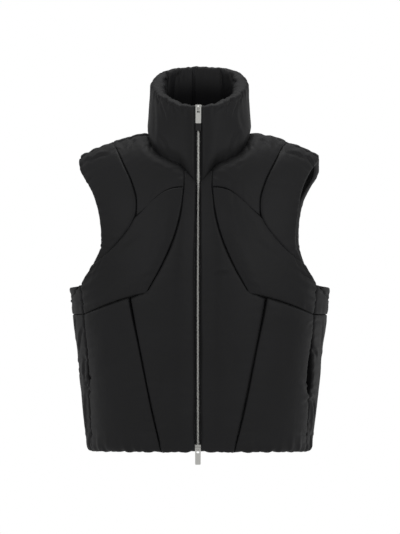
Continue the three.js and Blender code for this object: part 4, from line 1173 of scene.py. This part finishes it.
def make_teeth():
    """Two rows of metal teeth that interlock along the zip's line."""
    line = zip_line()
    run = runs(line, 0)
    start, end = (np.interp(z, line[:, 1], run) for z in (CHAIN_FOOT_Z, CHAIN_TOP_Z))
    corners, block_faces = tooth_block()
    across, along, out = corners.T[:, :, None]
    points, faces = [], []
    for k in range(int((end - start) / TOOTH_PITCH * 2)):
        side = -1 if k % 2 else 1
        at = start + k * TOOTH_PITCH / 2
        middle = np.array([np.interp(at, run, line[:, i]) for i in (0, 1)])
        ahead = unit(np.array([np.interp(at + 1, run, line[:, i]) for i in (0, 1)]) - middle)
        outward = np.array([-ahead[1], ahead[0]])
        points.append(np.hstack([side * across, middle + along * ahead + out * outward]))
        faces.append(block_faces[:, ::side] + k * len(corners))
    obj = mesh_object("zip_teeth_metal", np.concatenate(points), np.concatenate(faces).tolist())
    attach(obj, "vest")
    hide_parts("zip_teeth")
    return obj


teeth = make_teeth()

EDGE_ROUNDING = 0.35
for name in ("zip_slider_top", "zip_slider_bottom", "zip_pull_top", "zip_pull_bottom", "zip_pull_top_end"):
    bevel = frame["nodes"][name].modifiers.new("soft_edges", "BEVEL")
    bevel.width = EDGE_ROUNDING * MM
    bevel.segments = 2
    bevel.limit_method = "ANGLE"

# Materials. The shell's two tones, the painted shade tone down inside the collar, and the metal's
SHELL_TONES = ((0.3, (0.0085, 0.0085, 0.0092, 1)), (0.7, (0.0112, 0.0112, 0.0127, 1)))
INSIDE_SHADE_TONE = (0.0055, 0.0055, 0.0062, 1)
METAL_TONE = (0.9, 0.9, 0.86, 1)


def node_material(name, **values):
    """A material, its node tree and its shader, whose sockets take the values."""
    material = bpy.data.materials.new(name)
    material.use_nodes = True
    shader = material.node_tree.nodes["Principled BSDF"]
    set_sockets(shader, **values)
    return material, material.node_tree, shader


def set_sockets(node, **values):
    for socket, value in values.items():
        node.inputs[socket.replace("_", " ")].default_value = value


def add_noise(tree, scale, detail=2.0, distortion=0.0, space="Object"):
    noise = tree.nodes.new("ShaderNodeTexNoise")
    set_sockets(noise, Scale=scale, Detail=detail, Distortion=distortion)
    place = tree.nodes.new("ShaderNodeTexCoord")
    tree.links.new(place.outputs[space], noise.inputs["Vector"])
    return noise.outputs["Fac"]


def add_bump(tree, height, strength, distance, target):
    """Bumps on a target socket, and the socket for finer ones on top of them."""
    bump = tree.nodes.new("ShaderNodeBump")
    set_sockets(bump, Strength=strength, Distance=distance * MM)
    tree.links.new(height, bump.inputs["Height"])
    tree.links.new(bump.outputs["Normal"], target)
    return bump.inputs["Normal"]


def add_range(tree, value, low, high, target):
    spread = tree.nodes.new("ShaderNodeMapRange")
    set_sockets(spread, To_Min=low, To_Max=high)
    tree.links.new(value, spread.inputs["Value"])
    tree.links.new(spread.outputs["Result"], target)


def shell_material():
    """Black woven cloth with a slight sheen, with painted shade that makes it darker and duller down inside
    the collar.
    """
    finish = dict(Roughness=0.52, Sheen_Weight=0.06, Sheen_Roughness=0.4)
    material, tree, shader = node_material("shell_cloth", **finish)
    ramp = tree.nodes.new("ShaderNodeValToRGB")
    for element, (position, tone) in zip(ramp.color_ramp.elements, SHELL_TONES):
        element.position = position
        element.color = tone
    tree.links.new(add_noise(tree, scale=9, detail=6), ramp.inputs["Fac"])
    # Painted shade: the collar's attribute mixes the base colour towards the darker inside tone
    depth = tree.nodes.new("ShaderNodeAttribute")
    depth.attribute_name = "inside"
    darken = tree.nodes.new("ShaderNodeMix")
    darken.data_type = "RGBA"
    darken.inputs["B"].default_value = INSIDE_SHADE_TONE
    tree.links.new(depth.outputs["Fac"], darken.inputs["Factor"])
    tree.links.new(ramp.outputs["Color"], darken.inputs["A"])
    tree.links.new(darken.outputs["Result"], shader.inputs["Base Color"])
    # The painted shade also lowers the specular level down inside the collar
    add_range(tree, depth.outputs["Fac"], low=0.35, high=0.05, target=shader.inputs["Specular IOR Level"])
    crinkles = add_noise(tree, scale=55, detail=3, distortion=0.6)
    below = add_bump(tree, crinkles, strength=0.35, distance=1.5, target=shader.inputs["Normal"])
    add_bump(tree, add_noise(tree, scale=900), strength=0.25, distance=0.3, target=below)
    return material


def metal_material(name, metallic):
    material, tree, shader = node_material(name, Base_Color=METAL_TONE, Metallic=metallic)
    grain = add_noise(tree, scale=300, space="Generated")
    add_range(tree, grain, low=0.22, high=0.38, target=shader.inputs["Roughness"])
    return material


def dark_material(name, colour, roughness, scale):
    material, tree, shader = node_material(name, Base_Color=(*colour, 1), Roughness=roughness)
    add_bump(tree, add_noise(tree, scale), strength=0.4, distance=0.3, target=shader.inputs["Normal"])
    return material


shell = shell_material()
metal = metal_material("zip_metal", metallic=1)
brushed = metal_material("pull_metal", metallic=0.2)
tape_cloth = dark_material("zip_tape", (0.01, 0.01, 0.011), roughness=0.8, scale=1400)
pull_end = dark_material("pull_end", (0.007, 0.007, 0.008), roughness=0.5, scale=700)
lining = dark_material("pocket_lining", (0.01, 0.01, 0.011), roughness=0.7, scale=1000)

NODES_OF = (
    (metal, ("zip_slider_top", "zip_slider_bottom")),
    (brushed, ("zip_pull_top", "zip_pull_bottom")),
    (pull_end, ("zip_pull_top_end",)),
    (tape_cloth, ("zip_tape_l", "zip_tape_r")),
    (lining, ("pocket_facing_l", "pocket_facing_r")),
)


def give_material(obj, material):
    obj.data.materials.clear()
    obj.data.materials.append(material)


for obj in bpy.context.scene.objects:
    if obj.type == "MESH" and obj.name.endswith("_cloth"):
        give_material(obj, shell)
give_material(teeth, metal)
for material, names in NODES_OF:
    for name in names:
        give_material(frame["nodes"][name], material)

# Floor, world and lights
FLOOR_HALF = 3000.0
FLOOR_Z = -1350.0
FLOOR_TONE = (0.85, 0.85, 0.85, 1)
WHITE = (1, 1, 1, 1)
# The strength of the white round the object: as light, and as seen
WORLD_LIGHT = 0.32
WORLD_SEEN = 1.0
LIGHT_AIM = (0, 0, -0.25)
# Each light's name, place, size and power
LIGHTS = (
    ("key_left", (-2.2, -3.0, 0.9), (2.2, 2.2), 12),
    ("key_right", (2.2, -3.0, 0.9), (2.2, 2.2), 15),
    ("rim_left", (-2.4, 0.7, 0.3), (0.8, 2.2), 3.0),
    ("rim_right", (2.4, 0.7, 0.3), (0.8, 2.2), 3.4),
    ("top", (0, 0.2, 2.2), (2.0, 1.2), 12),
    ("low_left", (-1.3, 0.6, -0.8), (0.5, 0.5), 0.3),
    ("low_right", (1.3, 0.6, -0.8), (0.5, 0.5), 0.8),
)


def add_floor():
    corners = [(x * FLOOR_HALF, y * FLOOR_HALF, FLOOR_Z) for x, y in ((-1, -1), (1, -1), (1, 1), (-1, 1))]
    floor = mesh_object("floor", corners, [(0, 1, 2, 3)])
    floor.data.materials.append(node_material("floor", Base_Color=FLOOR_TONE, Roughness=0.9)[0])


def add_world():
    """White all round, which is seen brighter than it lights the object."""
    world = bpy.data.worlds.new("studio")
    bpy.context.scene.world = world
    world.use_nodes = True
    nodes, links = world.node_tree.nodes, world.node_tree.links
    light, seen = nodes["Background"], nodes.new("ShaderNodeBackground")
    for background, strength in ((light, WORLD_LIGHT), (seen, WORLD_SEEN)):
        set_sockets(background, Color=WHITE, Strength=strength)
    rays = nodes.new("ShaderNodeLightPath")
    either = nodes.new("ShaderNodeMixShader")
    links.new(rays.outputs["Is Camera Ray"], either.inputs[0])
    links.new(light.outputs[0], either.inputs[1])
    links.new(seen.outputs[0], either.inputs[2])
    links.new(either.outputs[0], nodes["World Output"].inputs["Surface"])


def add_area(name, location, size, power):
    data = bpy.data.lights.new(name, "AREA")
    data.shape = "RECTANGLE"
    data.size, data.size_y = size
    data.energy = power
    light = add_object(name, data)
    light.location = location
    ahead = unit(np.array(LIGHT_AIM) - location)
    light.rotation_euler = (math.acos(-ahead[2]), 0, math.atan2(-ahead[0], ahead[1]))


add_floor()
add_world()
for row in LIGHTS:
    add_area(*row)
bpy.context.scene.view_settings.view_transform = "Standard"
